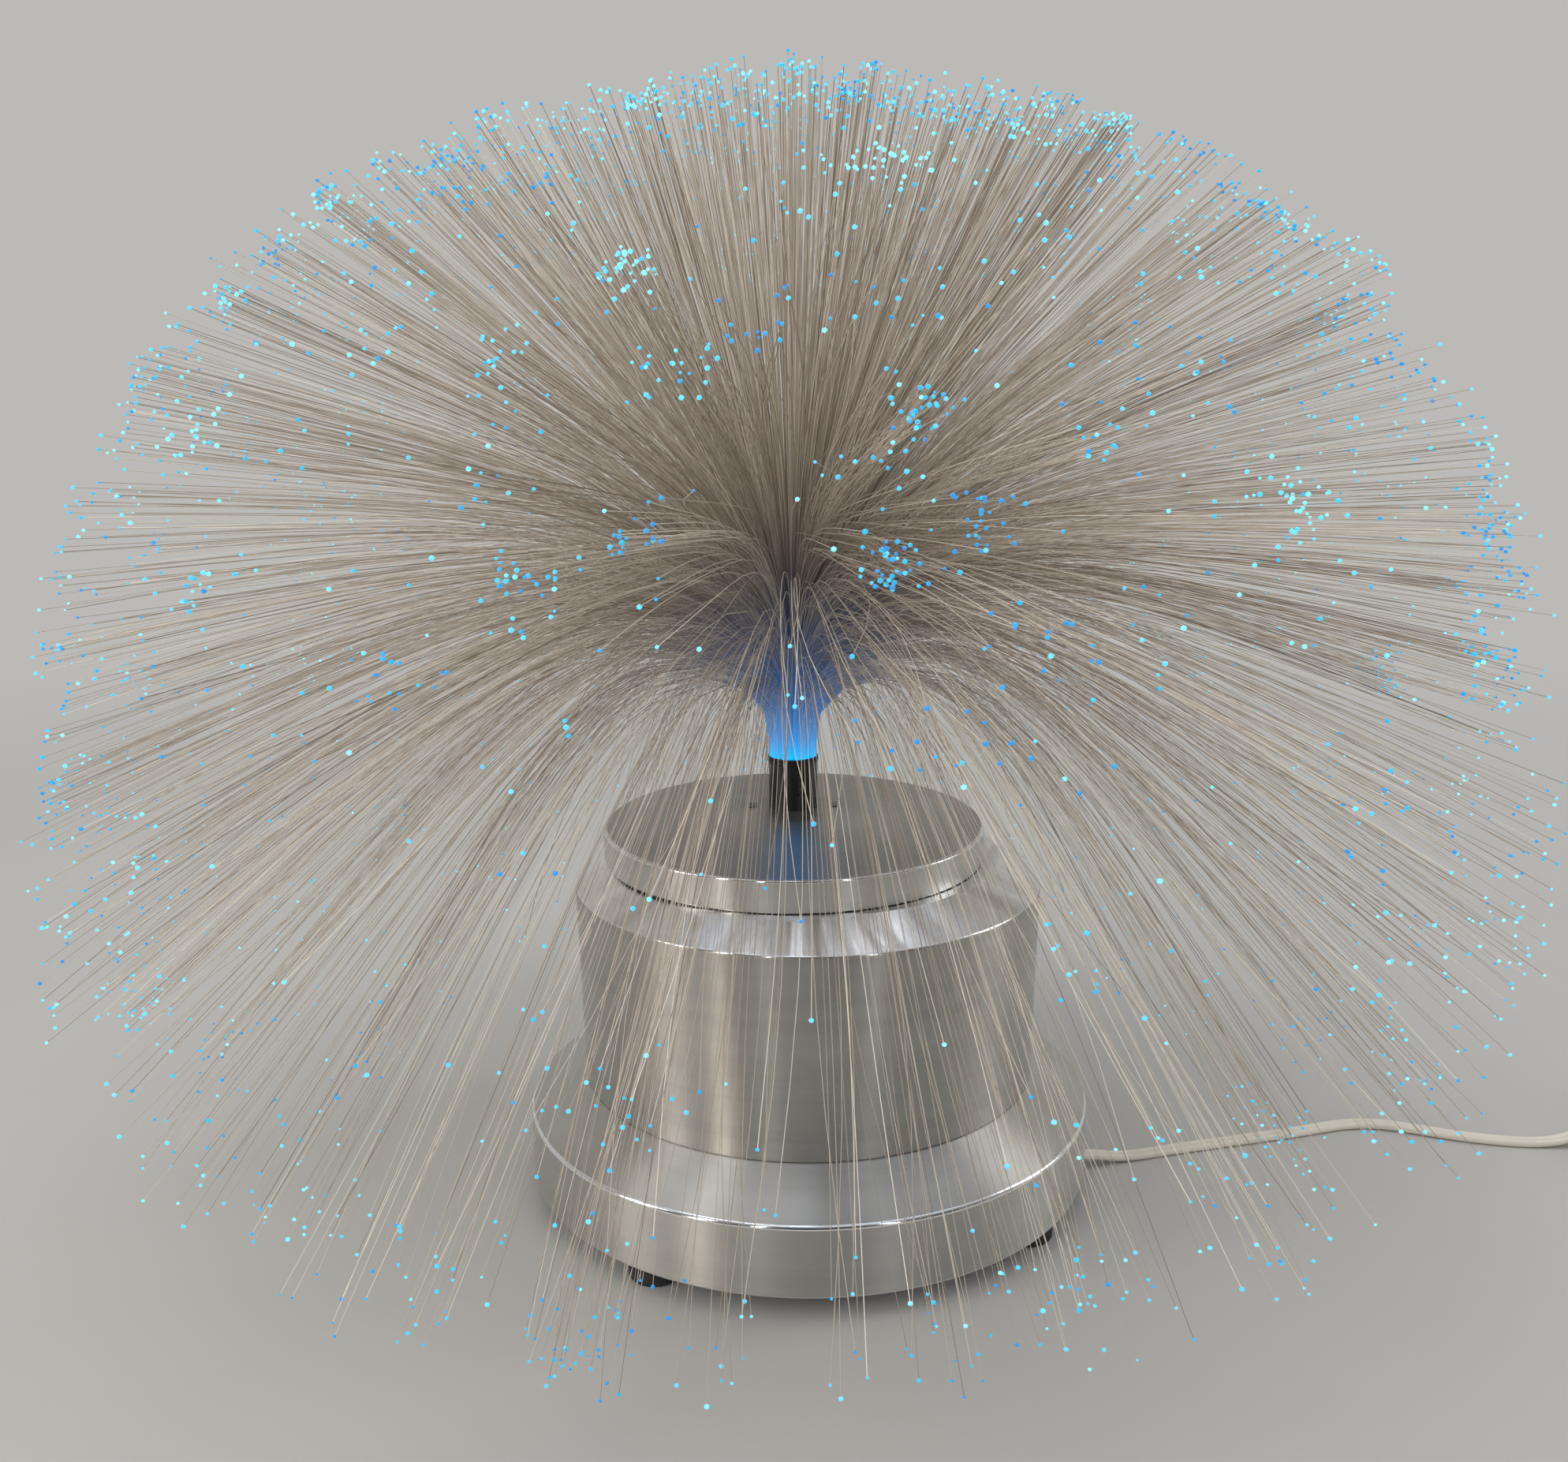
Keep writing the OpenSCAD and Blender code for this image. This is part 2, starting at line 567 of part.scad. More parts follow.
module clamp_screws() color("dimgray") gland_frame() for (y = [-6.4, 6.4])
    translate([-31, y, plate_top_z + cord_t + 2.4]) screw(1.1, cord_t + 2.2, 2.2, 1.4);

// ---------------------------------------------------------------- cord, switch and plug

module gland_frame() translate([gland_pos.x, gland_pos.y, 0]) rotate(gland_turn) children();

module cord_gland() color("whitesmoke") gland_frame() translate([0, 0, gland_z]) rotate([0, 90, 0])
    rotate_extrude($fn = 48) polygon([[0, -3.2], [5.2, -3.2], [5.4, -0.85], [3.55, -0.85],
        [3.55, 0.85], [5.4, 0.85], [5.2, 3], [3.7, gland_l], [0, gland_l]]);

module mains_cord() color("ivory") tube(mains_route, oval(cord_w, cord_t, 8));
module link_cord() color("ivory") tube(link_route, oval(cord_w, cord_t, 8));
module cord_tail() color("ivory") tube(tail_route, oval(cord_w, cord_t, 8));

// The coil: in on the lower layer, up in half a turn, and out again on the upper layer
coil_rings = 18;
coil_total = 2 * coil_turns + 0.5;
coil_inner = coil_r - coil_turns * coil_pitch;
coil_dip = coil_pitch / 2;    // the climbing half turn keeps clear of the turns on both layers
function ramp(u, from, to) = min(1, max(0, (u - from) / (to - from)));
function coil_point(u) =
    let (spiral = coil_r - coil_pitch * min(u, coil_turns) + coil_pitch * max(0, u - coil_turns - 0.5),
        dip = coil_dip * (ramp(u, coil_turns - 0.25, coil_turns)
            - ramp(u, coil_turns + 0.5, coil_turns + 0.75)),
        r = spiral - dip, climb = ramp(u, coil_turns, coil_turns + 0.5), a = -360 * u)
    [coil_pos.x + r * cos(a), coil_pos.y + r * sin(a), cord_z + coil_step * climb];
coil_steps = coil_total * coil_rings;
coil_path = [for (i = [0 : coil_steps]) coil_point(i / coil_rings)];
coil_gap = min([for (i = [0 : coil_steps]) for (j = [i + coil_rings / 2 : coil_steps])
    let (d = coil_path[i] - coil_path[j], flat = norm([d.x, d.y]))
    max(flat - cord_w, abs(d.z) - cord_t)]);
echo(least_gap_between_coil_turns = coil_gap);
coil_length = 2 * PI * (coil_r + coil_inner) / 2 * 2 * coil_turns + PI * coil_inner;
echo(cord_in_coil = coil_length);

module cord_coil() color("ivory") tube(coil_path, oval(cord_w * 0.97, cord_t * 0.86, 6));

// A clip over the bundle of turns
module cord_tie() color("dimgray") {
    r_in = coil_inner + coil_pitch / 4 - cord_w / 2 - 1.6;
    r_out = coil_r - coil_pitch * 3 / 4 + cord_w / 2 + 1;
    tall = cord_t + coil_step + 0.6;
    translate([coil_pos.x, coil_pos.y + r_in, 0]) difference() {
        translate([-3, -1, 0.1]) cube([6, r_out - r_in + 2, tall + 0.9]);
        translate([-4, 0, -1]) cube([8, r_out - r_in, tall + 1]);
    }
}

module switch_frame() translate([switch_pos.x, switch_pos.y, 0]) children();
split_z = switch_h / 2;
rocker_l = 20;
rocker_w = 12;
pivot_r = 1.5;
pivot_z = switch_h - 3;
switch_mid = switch_l / 2;
boss_x = 9;

// Outline of the switch seen from above: square ends drawn in a little
module switch_outline(inset = 0) {
    w = switch_w / 2 - inset;
    e = w - 5;
    polygon([[inset, -e], [8, -w], [switch_l - 8, -w], [switch_l - inset, -e],
        [switch_l - inset, e], [switch_l - 8, w], [8, w], [inset, e]]);
}

module switch_base() color("white") switch_frame() {
    difference() {
        linear_extrude(split_z) switch_outline();
        translate([0, 0, switch_wall]) linear_extrude(switch_h) switch_outline(switch_wall);
    }
    for (x = [boss_x, switch_l - boss_x]) translate([x, 0, switch_wall - 0.1]) difference() {
        cylinder(r = 2.6, h = split_z - switch_wall - 2.9, $fn = 48);
        translate([0, 0, 0.1]) cylinder(r = 1.25, h = switch_h, $fn = 32);
    }
}

module switch_cover() color("white") switch_frame() difference() {
    union() {
        difference() {
            translate([0, 0, split_z]) linear_extrude(switch_h - split_z) switch_outline();
            translate([0, 0, split_z - 1]) linear_extrude(switch_h - split_z - switch_wall + 1)
                switch_outline(switch_wall);
        }
        // ears that carry the rocker's pivot
        for (s = [-1, 1]) translate([switch_mid - 4, s * (rocker_w / 2 + 1.9) - 1.5, split_z + 0.5])
            cube([8, 3, switch_h - split_z - 1]);
        for (x = [boss_x, switch_l - boss_x]) translate([x, 0, split_z - 2.6])
            cylinder(r = 2.6, h = switch_h - split_z + 1.6, $fn = 48);
    }
    translate([switch_mid - rocker_l / 2 - 0.5, -rocker_w / 2 - 0.3, split_z + 0.6])
        cube([rocker_l + 1, rocker_w + 0.6, switch_h]);
    translate([switch_mid, -rocker_w / 2 - 4, pivot_z]) rotate([-90, 0, 0])
        cylinder(r = pivot_r + 0.05, h = rocker_w + 8, $fn = 48);
    for (x = [boss_x, switch_l - boss_x]) {
        translate([x, 0, 0]) cylinder(r = 1.25, h = switch_h - 2.4, $fn = 32);
        translate([x, 0, 0]) cylinder(r = 1.25, h = switch_h + 1, $fn = 32);
        translate([x, 0, switch_h - 1.8]) cylinder(r = 2.4, h = 4, $fn = 48);
    }
}

module switch_screws() color("dimgray") switch_frame() for (x = [boss_x, switch_l - boss_x])
    translate([x, 0, switch_h - 1.8]) screw(1.1, switch_h - 6, 2.2, 1.3);

module switch_rocker() color("white") switch_frame() translate([switch_mid, 0, pivot_z])
    rotate([0, rocker_tilt, 0]) {
        rotate([-90, 0, 0]) translate([0, 0, -rocker_w / 2 - 2.8]) cylinder(r = pivot_r,
            h = rocker_w + 5.6, $fn = 48);
        translate([0, rocker_w / 2, 0]) rotate([90, 0, 0]) linear_extrude(rocker_w)
            polygon([[-rocker_l / 2 + 0.5, 1.2], [-rocker_l / 2 + 0.5, 5], [0, 3.4],
                [rocker_l / 2 - 0.5, 5], [rocker_l / 2 - 0.5, 1.2], [3, -2.4], [-3, -2.4]]);
    }

module plug_frame() translate([plug_start.x, plug_start.y, plug_t / 2]) children();

// Flat two-pin plug: neck at the cord, body widening to its front face
module plug_body() color("ivory") plug_frame() {
    w = pin_pitch + 7.4;
    difference() {
        translate([0, 0, -plug_t / 2]) linear_extrude(plug_t) polygon([[-4.4, 0], [4.4, 0],
            [6.4, 9], [w / 2 - 1, 17], [w / 2, 21], [w / 2, plug_l - 1.5], [w / 2 - 1.5, plug_l],
            [-w / 2 + 1.5, plug_l], [-w / 2, plug_l - 1.5], [-w / 2, 21], [-w / 2 + 1, 17], [-6.4, 9]]);
        for (s = [-1, 1]) translate([s * pin_pitch / 2, plug_l - 8, 0]) rotate([-90, 0, 0])
            cylinder(r = pin_r - 0.2, h = 10, $fn = 48);
    }
}

// Two pins: a sleeved shank that stands in the body, then the bare tip
module plug_pins() color("silver") plug_frame() for (s = [-1, 1])
    translate([s * pin_pitch / 2, plug_l - 8, 0]) rotate([-90, 0, 0]) {
        cylinder(r = pin_r - 0.2, h = 18, $fn = 48);
        translate([0, 0, 18]) cylinder(r = pin_r, h = pin_l - 11, $fn = 48);
        translate([0, 0, pin_l + 7]) cylinder(r1 = pin_r, r2 = pin_r - 0.8, h = 1, $fn = 48);
    }

// ---------------------------------------------------------------- lid and stem

module lid_shell() color("silver") difference() {
    translate([0, -stem_back, 0]) rotate_extrude($fn = 180) polygon([
        [0, lid_top_z], [lid_r - 1, lid_top_z], [lid_r - 0.3, lid_top_z - 0.3], [lid_r, lid_top_z - 1],
        [lid_r, ledge_z + lid_gap], [lid_r - sheet, ledge_z + lid_gap],
        [lid_r - sheet, lid_under_z], [0, lid_under_z]]);
    translate([0, 0, lid_under_z - 1]) cylinder(r = stem_r + 0.05, h = sheet + 2);
    for (s = [-1, 1]) translate([s * slot_reach, 0, lid_under_z])
        cube([tab_w + 0.4, tab_l + 0.4, 4 * sheet], center = true);
}

// Black tube with a turned lip at the top, where the ferrule's flange rests
module stem_tube() color("#141414") difference() {
    union() {
        translate([0, 0, stem_bottom_z]) cylinder(r = stem_r, h = stem_top_z - stem_bottom_z);
        translate([0, 0, stem_top_z - 1.4]) cylinder(r1 = stem_r, r2 = stem_r + 0.5, h = 1.4);
    }
    translate([0, 0, stem_bottom_z - 1])
        cylinder(r = stem_r - stem_wall, h = stem_top_z - stem_bottom_z + 2);
}

// Spring plate under the lid: grips the tube, and its two tabs stand through the lid's slots
module stem_bracket() color("#222222") {
    w = 2 * slot_reach + tab_w;
    difference() {
        translate([-w / 2 - 1, -stem_r - 3, lid_under_z - strip_t]) cube([w + 2, 2 * stem_r + 6, strip_t]);
        translate([0, 0, lid_under_z - strip_t - 1]) cylinder(r = stem_r + 0.02, h = strip_t + 2);
    }
    for (s = [-1, 1]) translate([s * slot_reach - tab_w / 2, -tab_l / 2, lid_under_z - 0.2])
        cube([tab_w, tab_l, sheet + 0.5]);
}

// ---------------------------------------------------------------- fibre bundle and spray

module bundle_ferrule() color("#101010") difference() {
    union() {
        translate([0, 0, ferrule_bottom_z]) cylinder(r = ferrule_r, h = stem_top_z - ferrule_bottom_z + 0.1);
        translate([0, 0, stem_top_z]) cylinder(r = stem_r + 0.3, h = flange_t);
    }
    translate([0, 0, ferrule_bottom_z - 1]) cylinder(r = bundle_r, h = crown_z - ferrule_bottom_z + 2);
}

module fibre_bundle() color("lightskyblue") translate([0, 0, bundle_end_z])
    cylinder(r = bundle_r - 0.05, h = crown_z - bundle_end_z);

sectors = 8;
sector_sweep = 360 / sectors;
ring_count = [2, 3, 4, 5, 5, 6, 6, 7];    // strands of each ring in one sector
ring_share = [0.05, 0.11, 0.19, 0.29, 0.40, 0.54, 0.70, 0.92];
ring_stagger = 0.12;    // neighbouring rings stand off each other's directions
fine = 50;
function sum(v, i = 0) = i < len(v) ? v[i] + sum(v, i + 1) : 0;
echo(strands = sectors * sum(ring_count));

// Where along its length a strand of ring k has its rings: the outer ones share the inner ones' places
function stations(k) = k < 2 ? [0, 0.18, 1] : k < 7 ? [0, 0.18, 0.44, 1] : [0, 0.18, 0.44, 0.66, 1];

// A spread of -1 to 1 that repeats in every sector
function scatter(a, b) = let (v = sin(a * 127.1 + b * 311.7) * 43.7) 2 * (v - floor(v)) - 1;

// The angle that a strand has turned from upright at its tip, and its length
turn_curve = 1.62;
function turn_of(k, j) = low_turn
    * acos(1 - turn_curve * min(1, ring_share[k] + 0.03 * scatter(k, j))) / acos(1 - turn_curve);
// The fibres of the crown's middle are short, those that hang out at the sides are the longest
length_share = [[0, 0], [0.13, -0.07], [0.27, 0.1], [0.4, 0.32], [0.53, 0.44], [0.67, 0.6],
    [0.77, 0.8], [0.87, 1], [0.95, 0.88], [1, 0.63]];
function strand_length(turn, k, j) = fibre_top_len - 5 - 5 * scatter(k + 9, j + 4)
    + (fibre_low_len - fibre_top_len) * lookup(turn / low_turn, length_share);

// The line of a strand in its own upright plane: it leaves upright and bends over under its
// weight, the outside ones soonest
straight = 0.035;
function late(u) = max(0, (u - straight) / (1 - straight));
function bend_of(turn) = bend_power * (1 + 0.83 * pow(turn / low_turn, 3.5));
function lean_at(turn, u) = turn * (1 - pow(1 - late(u), bend_of(turn)));
function strand_line(r0, turn, length) = [for (i = 0, p = [r0, crown_top_z]; i <= fine;
    p = p + [sin(lean_at(turn, (i + 0.5) / fine)), cos(lean_at(turn, (i + 0.5) / fine))]
        * length / fine, i = i + 1) p];

module strand(k, j) {
    az = (j + 0.5 + (k % 2 == 1 ? ring_stagger : -ring_stagger)) * sector_sweep / ring_count[k];
    turn = turn_of(k, j);
    line = strand_line(crown_r * (0.16 + 0.105 * k), turn, strand_length(turn, k, j));
    out = [cos(az), sin(az), 0];
    across = [-sin(az), cos(az), 0];
    path = [for (u = stations(k)) let (p = line[round(fine * u)]) p.x * out + [0, 0, p.y]];
    // the root ring lies flat in the crown's top, with which it is fused
    rings = [for (i = [0 : len(path) - 1]) let (r = i == 0 ? root_r : strand_r)
        each ring(path[i], i == 0 ? [0, 0, 1] : heading(path, i), across,
            oval(2 * r * cos(60), 2 * r * cos(60), 3))];
    polyhedron(rings, tube_faces(len(path), 3), convexity = 2);
}

module spray_sector(i) color("burlywood") rotate(sector_sweep * i) {
    translate([0, 0, crown_z]) rotate_extrude(angle = sector_sweep, $fn = 40) square([crown_r, crown_t]);
    for (k = [0 : len(ring_count) - 1]) for (j = [0 : ring_count[k] - 1]) strand(k, j);
}
module spray_1() spray_sector(0);
module spray_2() spray_sector(1);
module spray_3() spray_sector(2);
module spray_4() spray_sector(3);
module spray_5() spray_sector(4);
module spray_6() spray_sector(5);
module spray_7() spray_sector(6);
module spray_8() spray_sector(7);

drum_shell();
body_shell();
shell_screws();
base_plate();
base_plate_screws();
foot_front_left();
foot_front_right();
foot_back_right();
foot_back_left();
foot_screws();
lamp_holder();
holder_bracket();
bulb_cap();
bulb_glass();
bulb_filament();
motor_can();
motor_gearcase();
motor_bracket();
bracket_screws();
terminal_block();
terminal_screws();
lamp_wires();
motor_wires();
inner_lead();
cord_clamp();
clamp_screws();
cord_gland();
mains_cord();
switch_base();
switch_cover();
switch_screws();
switch_rocker();
link_cord();
cord_coil();
cord_tie();
cord_tail();
plug_body();
plug_pins();
wheel_frame();
wheel_hub();
motor_shaft();
filter_red();
filter_amber();
filter_green();
filter_blue();
lid_shell();
stem_tube();
stem_bracket();
bundle_ferrule();
fibre_bundle();
spray_1();
spray_2();
spray_3();
spray_4();
spray_5();
spray_6();
spray_7();
spray_8();
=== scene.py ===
"""A table lamp: a round spray of light fibres on a two-tier spun aluminium base.

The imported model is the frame. Sizes inside the classes are in millimetres, as a maker notes
them, and MM turns them into the frame's metres.
"""

import logging
import math
from contextlib import contextmanager
from dataclasses import dataclass, field
from enum import Enum
from typing import Callable, Iterator, Sequence

import bpy
import numpy as np
from mathutils import Matrix, Vector


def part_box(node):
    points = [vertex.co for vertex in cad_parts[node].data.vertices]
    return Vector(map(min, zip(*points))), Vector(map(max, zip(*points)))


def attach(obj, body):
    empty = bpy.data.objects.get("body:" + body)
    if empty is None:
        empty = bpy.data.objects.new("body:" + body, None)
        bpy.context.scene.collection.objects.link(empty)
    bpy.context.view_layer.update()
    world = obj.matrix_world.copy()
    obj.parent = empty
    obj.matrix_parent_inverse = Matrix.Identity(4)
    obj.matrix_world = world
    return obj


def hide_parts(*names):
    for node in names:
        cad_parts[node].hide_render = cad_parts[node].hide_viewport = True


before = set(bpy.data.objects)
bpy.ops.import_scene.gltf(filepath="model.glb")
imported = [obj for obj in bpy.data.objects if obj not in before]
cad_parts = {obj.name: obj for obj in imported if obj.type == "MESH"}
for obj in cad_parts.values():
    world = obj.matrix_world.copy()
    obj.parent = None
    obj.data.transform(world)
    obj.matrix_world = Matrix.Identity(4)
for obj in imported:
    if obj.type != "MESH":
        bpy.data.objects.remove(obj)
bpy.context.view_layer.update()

MM = 0.001
AXIS_R = 0.004  # the least radius of a turned ring, in millimetres
SHARP = 35.0  # the least angle in degrees at a sharp edge
SPUN_SHARP = 28.0  # the same on spun metal
CAD_SHARP = 40.0  # the same on a piece that is taken from the CAD
SHORT_EDGE = 2.2  # times the rounding's width: shorter edges stay sharp
BEVEL_FACES = 2
ROUND_FACES = 3
TUBE_AXIS = (0.0, 0.0)
BASE_AXIS = (5.2, -21.5)
LID_AXIS = (0.0, -21.5)
WHITE = (1.0, 1.0, 1.0)
LOG = logging.getLogger("fibre_lamp")

Point2 = tuple[float, float]
Point3 = tuple[float, float, float]
Colour = tuple[float, float, float]
Piece = bpy.types.Object
Material = bpy.types.Material
NodeTree = bpy.types.NodeTree
Node = bpy.types.Node
Socket = bpy.types.NodeSocket
NodeValue = object


class Body(Enum):
    """The bodies of the lamp that move on their own."""

    BASE = "base"
    LID = "lid"
    SPRAY = "spray"
    WHEEL = "wheel"
    ROCKER = "rocker"


# ---------------------------------------------------------------- modelling by hand


def deselect() -> None:
    """Leaves edit mode and deselects everything, as each modelling step starts."""
    if bpy.context.object is not None and bpy.context.object.mode != "OBJECT":
        bpy.ops.object.mode_set(mode="OBJECT")
    bpy.ops.object.select_all(action="DESELECT")


def activate(obj: Piece) -> None:
    """Makes obj the only selected object, and the active one."""
    deselect()
    obj.select_set(True)
    bpy.context.view_layer.objects.active = obj


def settle(obj: Piece, move: Point3) -> None:
    """Moves obj by a step in millimetres and puts its place into its mesh."""
    activate(obj)
    obj.location = [a + b * MM for a, b in zip(obj.location, move)]
    bpy.ops.object.transform_apply(location=True, rotation=True, scale=True)


def placed(name: str, data: bpy.types.ID) -> Piece:
    """Puts an object with the data into the scene and returns it."""
    obj = bpy.data.objects.new(name, data)
    bpy.context.scene.collection.objects.link(obj)
    return obj


@contextmanager
def editing(obj: Piece, pick: str = "SELECT") -> Iterator[None]:
    """Opens obj in edit mode and closes it after the work.

    Args:
        obj: the piece
        pick: SELECT to start with all of its edges, DESELECT to start with none
    """
    activate(obj)
    bpy.ops.object.mode_set(mode="EDIT")
    bpy.ops.mesh.select_mode(type="EDGE")
    bpy.ops.mesh.select_all(action=pick)
    yield
    bpy.ops.object.mode_set(mode="OBJECT")


def applied(obj: Piece, kind: str, **settings: object) -> None:
    """Adds a modifier and applies it.

    Args:
        obj: the piece
        kind: the modifier's type
        settings: the modifier's own properties
    """
    activate(obj)
    modifier = obj.modifiers.new(kind.lower(), kind)
    for key, value in settings.items():
        setattr(modifier, key, value)
    bpy.ops.object.modifier_apply(modifier=modifier.name)


def smoothed(obj: Piece, angle: float) -> None:
    """Smooths the faces of obj, but not across edges of the angle in degrees or more."""
    activate(obj)
    bpy.ops.object.shade_smooth_by_angle(angle=math.radians(angle))


def bevelled(obj: Piece, width: float, angle: float) -> None:
    """Rounds the sharp edges of obj with an applied Bevel, then smooths its faces.

    The large faces set the normals at the rounded edges, so that they stay flat.

    Args:
        obj: the piece
        width: the bevel's width in millimetres; 0 leaves the edges sharp
        angle: the least angle in degrees between the faces at a sharp edge
    """
    if width > 0:
        applied(obj, "BEVEL", width=width * MM, segments=BEVEL_FACES, limit_method="ANGLE",
                angle_limit=math.radians(angle))
    smoothed(obj, angle)
    applied(obj, "WEIGHTED_NORMAL", keep_sharp=True)


def softened(obj: Piece, width: float) -> None:
    """Rounds the long sharp edges of a moulded piece and leaves the short ones, as at small holes.

    Args:
        obj: the piece
        width: the rounding's width in millimetres
    """
    with editing(obj, "DESELECT"):
        bpy.ops.mesh.edges_select_sharp(sharpness=math.radians(SHARP))
    for edge in obj.data.edges:
        a, b = (obj.data.vertices[i].co for i in edge.vertices)
        if (a - b).length < SHORT_EDGE * width * MM:
            edge.select = False
    bpy.ops.object.mode_set(mode="EDIT")
    bpy.ops.mesh.bevel(offset=width * MM, segments=ROUND_FACES, clamp_overlap=True)
    bpy.ops.object.mode_set(mode="OBJECT")


def turned(name: str, profile: Sequence[Point2], sides: int, edge: float,
           centre: Point2 = TUBE_AXIS, angle: float = SHARP) -> Piece:
    """Turns a closed profile about an upright axis, as on a lathe.

    Args:
        name: the piece's name
        profile: (radius, height) points in millimetres along the outline
        sides: the number of sides round the axis
        edge: the width in millimetres of the bevel on sharp edges
        centre: the axis's place in millimetres
        angle: the least angle in degrees at a sharp edge

    Returns:
        the finished piece
    """
    deselect()
    rings = [(max(r, AXIS_R), z) for r, z in (*profile, profile[0])]
    bpy.ops.mesh.primitive_circle_add(vertices=sides, radius=rings[0][0] * MM,
                                      location=(0, 0, rings[0][1] * MM))
    obj = bpy.context.active_object
    obj.name = name
    bpy.ops.object.transform_apply(location=True)
    with editing(obj):
        for (r0, z0), (r1, z1) in zip(rings, rings[1:]):
            bpy.ops.mesh.extrude_edges_move(
                TRANSFORM_OT_translate={"value": (0, 0, (z1 - z0) * MM)})
            if not math.isclose(r0, r1):
                bpy.ops.transform.resize(value=(r1 / r0, r1 / r0, 1),
                                         center_override=(0, 0, z1 * MM))
        bpy.ops.mesh.select_all(action="SELECT")
        bpy.ops.mesh.remove_doubles(threshold=0.01 * MM)
        bpy.ops.mesh.delete_loose()
        bpy.ops.mesh.select_all(action="SELECT")
        bpy.ops.mesh.normals_make_consistent(inside=False)
    settle(obj, (*centre, 0))
    bevelled(obj, edge, angle)
    return obj


MOULDED = {"motor_gearcase", "terminal_block", "switch_base", "switch_cover", "switch_rocker",
           "plug_body"}


def refined(node: str, edge: float) -> Piece:
    """Copies a CAD node, merges its loose faces and rounds its edges.

    Args:
        node: the CAD node's name
        edge: the bevel's width in millimetres

    Returns:
        the finished piece, which stands for the node
    """
    deselect()
    obj = placed(f"{node}_piece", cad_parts[node].data.copy())
    obj.data.materials.clear()
    with editing(obj):
        bpy.ops.mesh.remove_doubles(threshold=0.005 * MM)
        bpy.ops.mesh.dissolve_limited(angle_limit=math.radians(0.5))
        bpy.ops.mesh.customdata_custom_splitnormals_clear()
    if node in MOULDED:
        softened(obj, edge)
    bevelled(obj, 0 if node in MOULDED else edge, CAD_SHARP)
    return obj


def cut(obj: Piece, cutter: Piece) -> None:
    """Cuts one piece's shape out of another and deletes the cutter."""
    applied(obj, "BOOLEAN", operation="DIFFERENCE", solver="EXACT", object=cutter)
    bpy.data.objects.remove(cutter, do_unlink=True)


def eased(points: Sequence[Point3], parts: int) -> list[Point3]:
    """Draws a smooth line through points.

    Args:
        points: the points in millimetres
        parts: the number of steps from one point to the next

    Returns:
        the line's points in millimetres
    """
    p = np.array([points[0], *points, points[-1]], float)
    line = []
    for a, b, c, d in zip(p, p[1:], p[2:], p[3:]):
        for i in range(parts):
            t = i / parts
            line.append(0.5 * (2 * b + (c - a) * t + (2 * a - 5 * b + 4 * c - d) * t**2
                               + (3 * b - a - 3 * c + d) * t**3))
    line.append(p[-1])
    return [tuple(float(x) for x in q) for q in line]


def drawn(name: str, lines: Sequence[Sequence[Point3]], **settings: object) -> Piece:
    """Draws lines as one curve.

    Args:
        name: the curve's name
        lines: the points of each line, in millimetres
        settings: the curve's own properties

    Returns:
        the curve object
    """
    curve = bpy.data.curves.new(name, "CURVE")
    for key, value in settings.items():
        setattr(curve, key, value)
    for line in lines:
        spline = curve.splines.new("POLY")
        spline.points.add(len(line) - 1)
        spline.points.foreach_set("co", [c for x, y, z in line
                                         for c in (x * MM, y * MM, z * MM, 1)])
        spline.use_smooth = True
    return placed(name, curve)


def meshed(curve: Piece) -> Piece:
    """Turns a curve into a mesh and returns it."""
    activate(curve)
    bpy.ops.object.convert(target="MESH")
    return bpy.context.active_object


def threads(name: str, lines: Sequence[Sequence[Point3]], radius: float,
            resolution: int = 0) -> Piece:
    """Lays round threads along lines and makes them one mesh.

    Args:
        name: the piece's name
        lines: one line of points in millimetres for each thread
        radius: the threads' radius in millimetres
        resolution: the roundness of the threads; 0 gives four sides

    Returns:
        the mesh object, its vertices in the order of the lines and their points
    """
    return meshed(drawn(name, lines, dimensions="3D", bevel_depth=radius * MM,
                        bevel_resolution=resolution))


@dataclass
class Assembly:
    """A part of the lamp that is built on its own.

    Attributes:
        finishes: the materials by finish
    """

    finishes: dict[str, Material]

    def dress(self, obj: Piece, finish: str, body: Body, *nodes: str, slot: str = "") -> Piece:
        """Gives a piece its finish, its body and the nodes it stands for.

        Args:
            obj: the piece
            finish: the name of its finish
            body: the body it rides on
            nodes: the CAD nodes that it stands for
            slot: not used

        Returns:
            the piece
        """
        obj.data.materials.clear()
        obj.data.materials.append(self.finishes[finish])
        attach(obj, body.value)
        if nodes:
            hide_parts(*nodes)
        LOG.info("%s: %d faces on %s", obj.name, len(obj.data.polygons), body.value)
        return obj


# ---------------------------------------------------------------- finishes


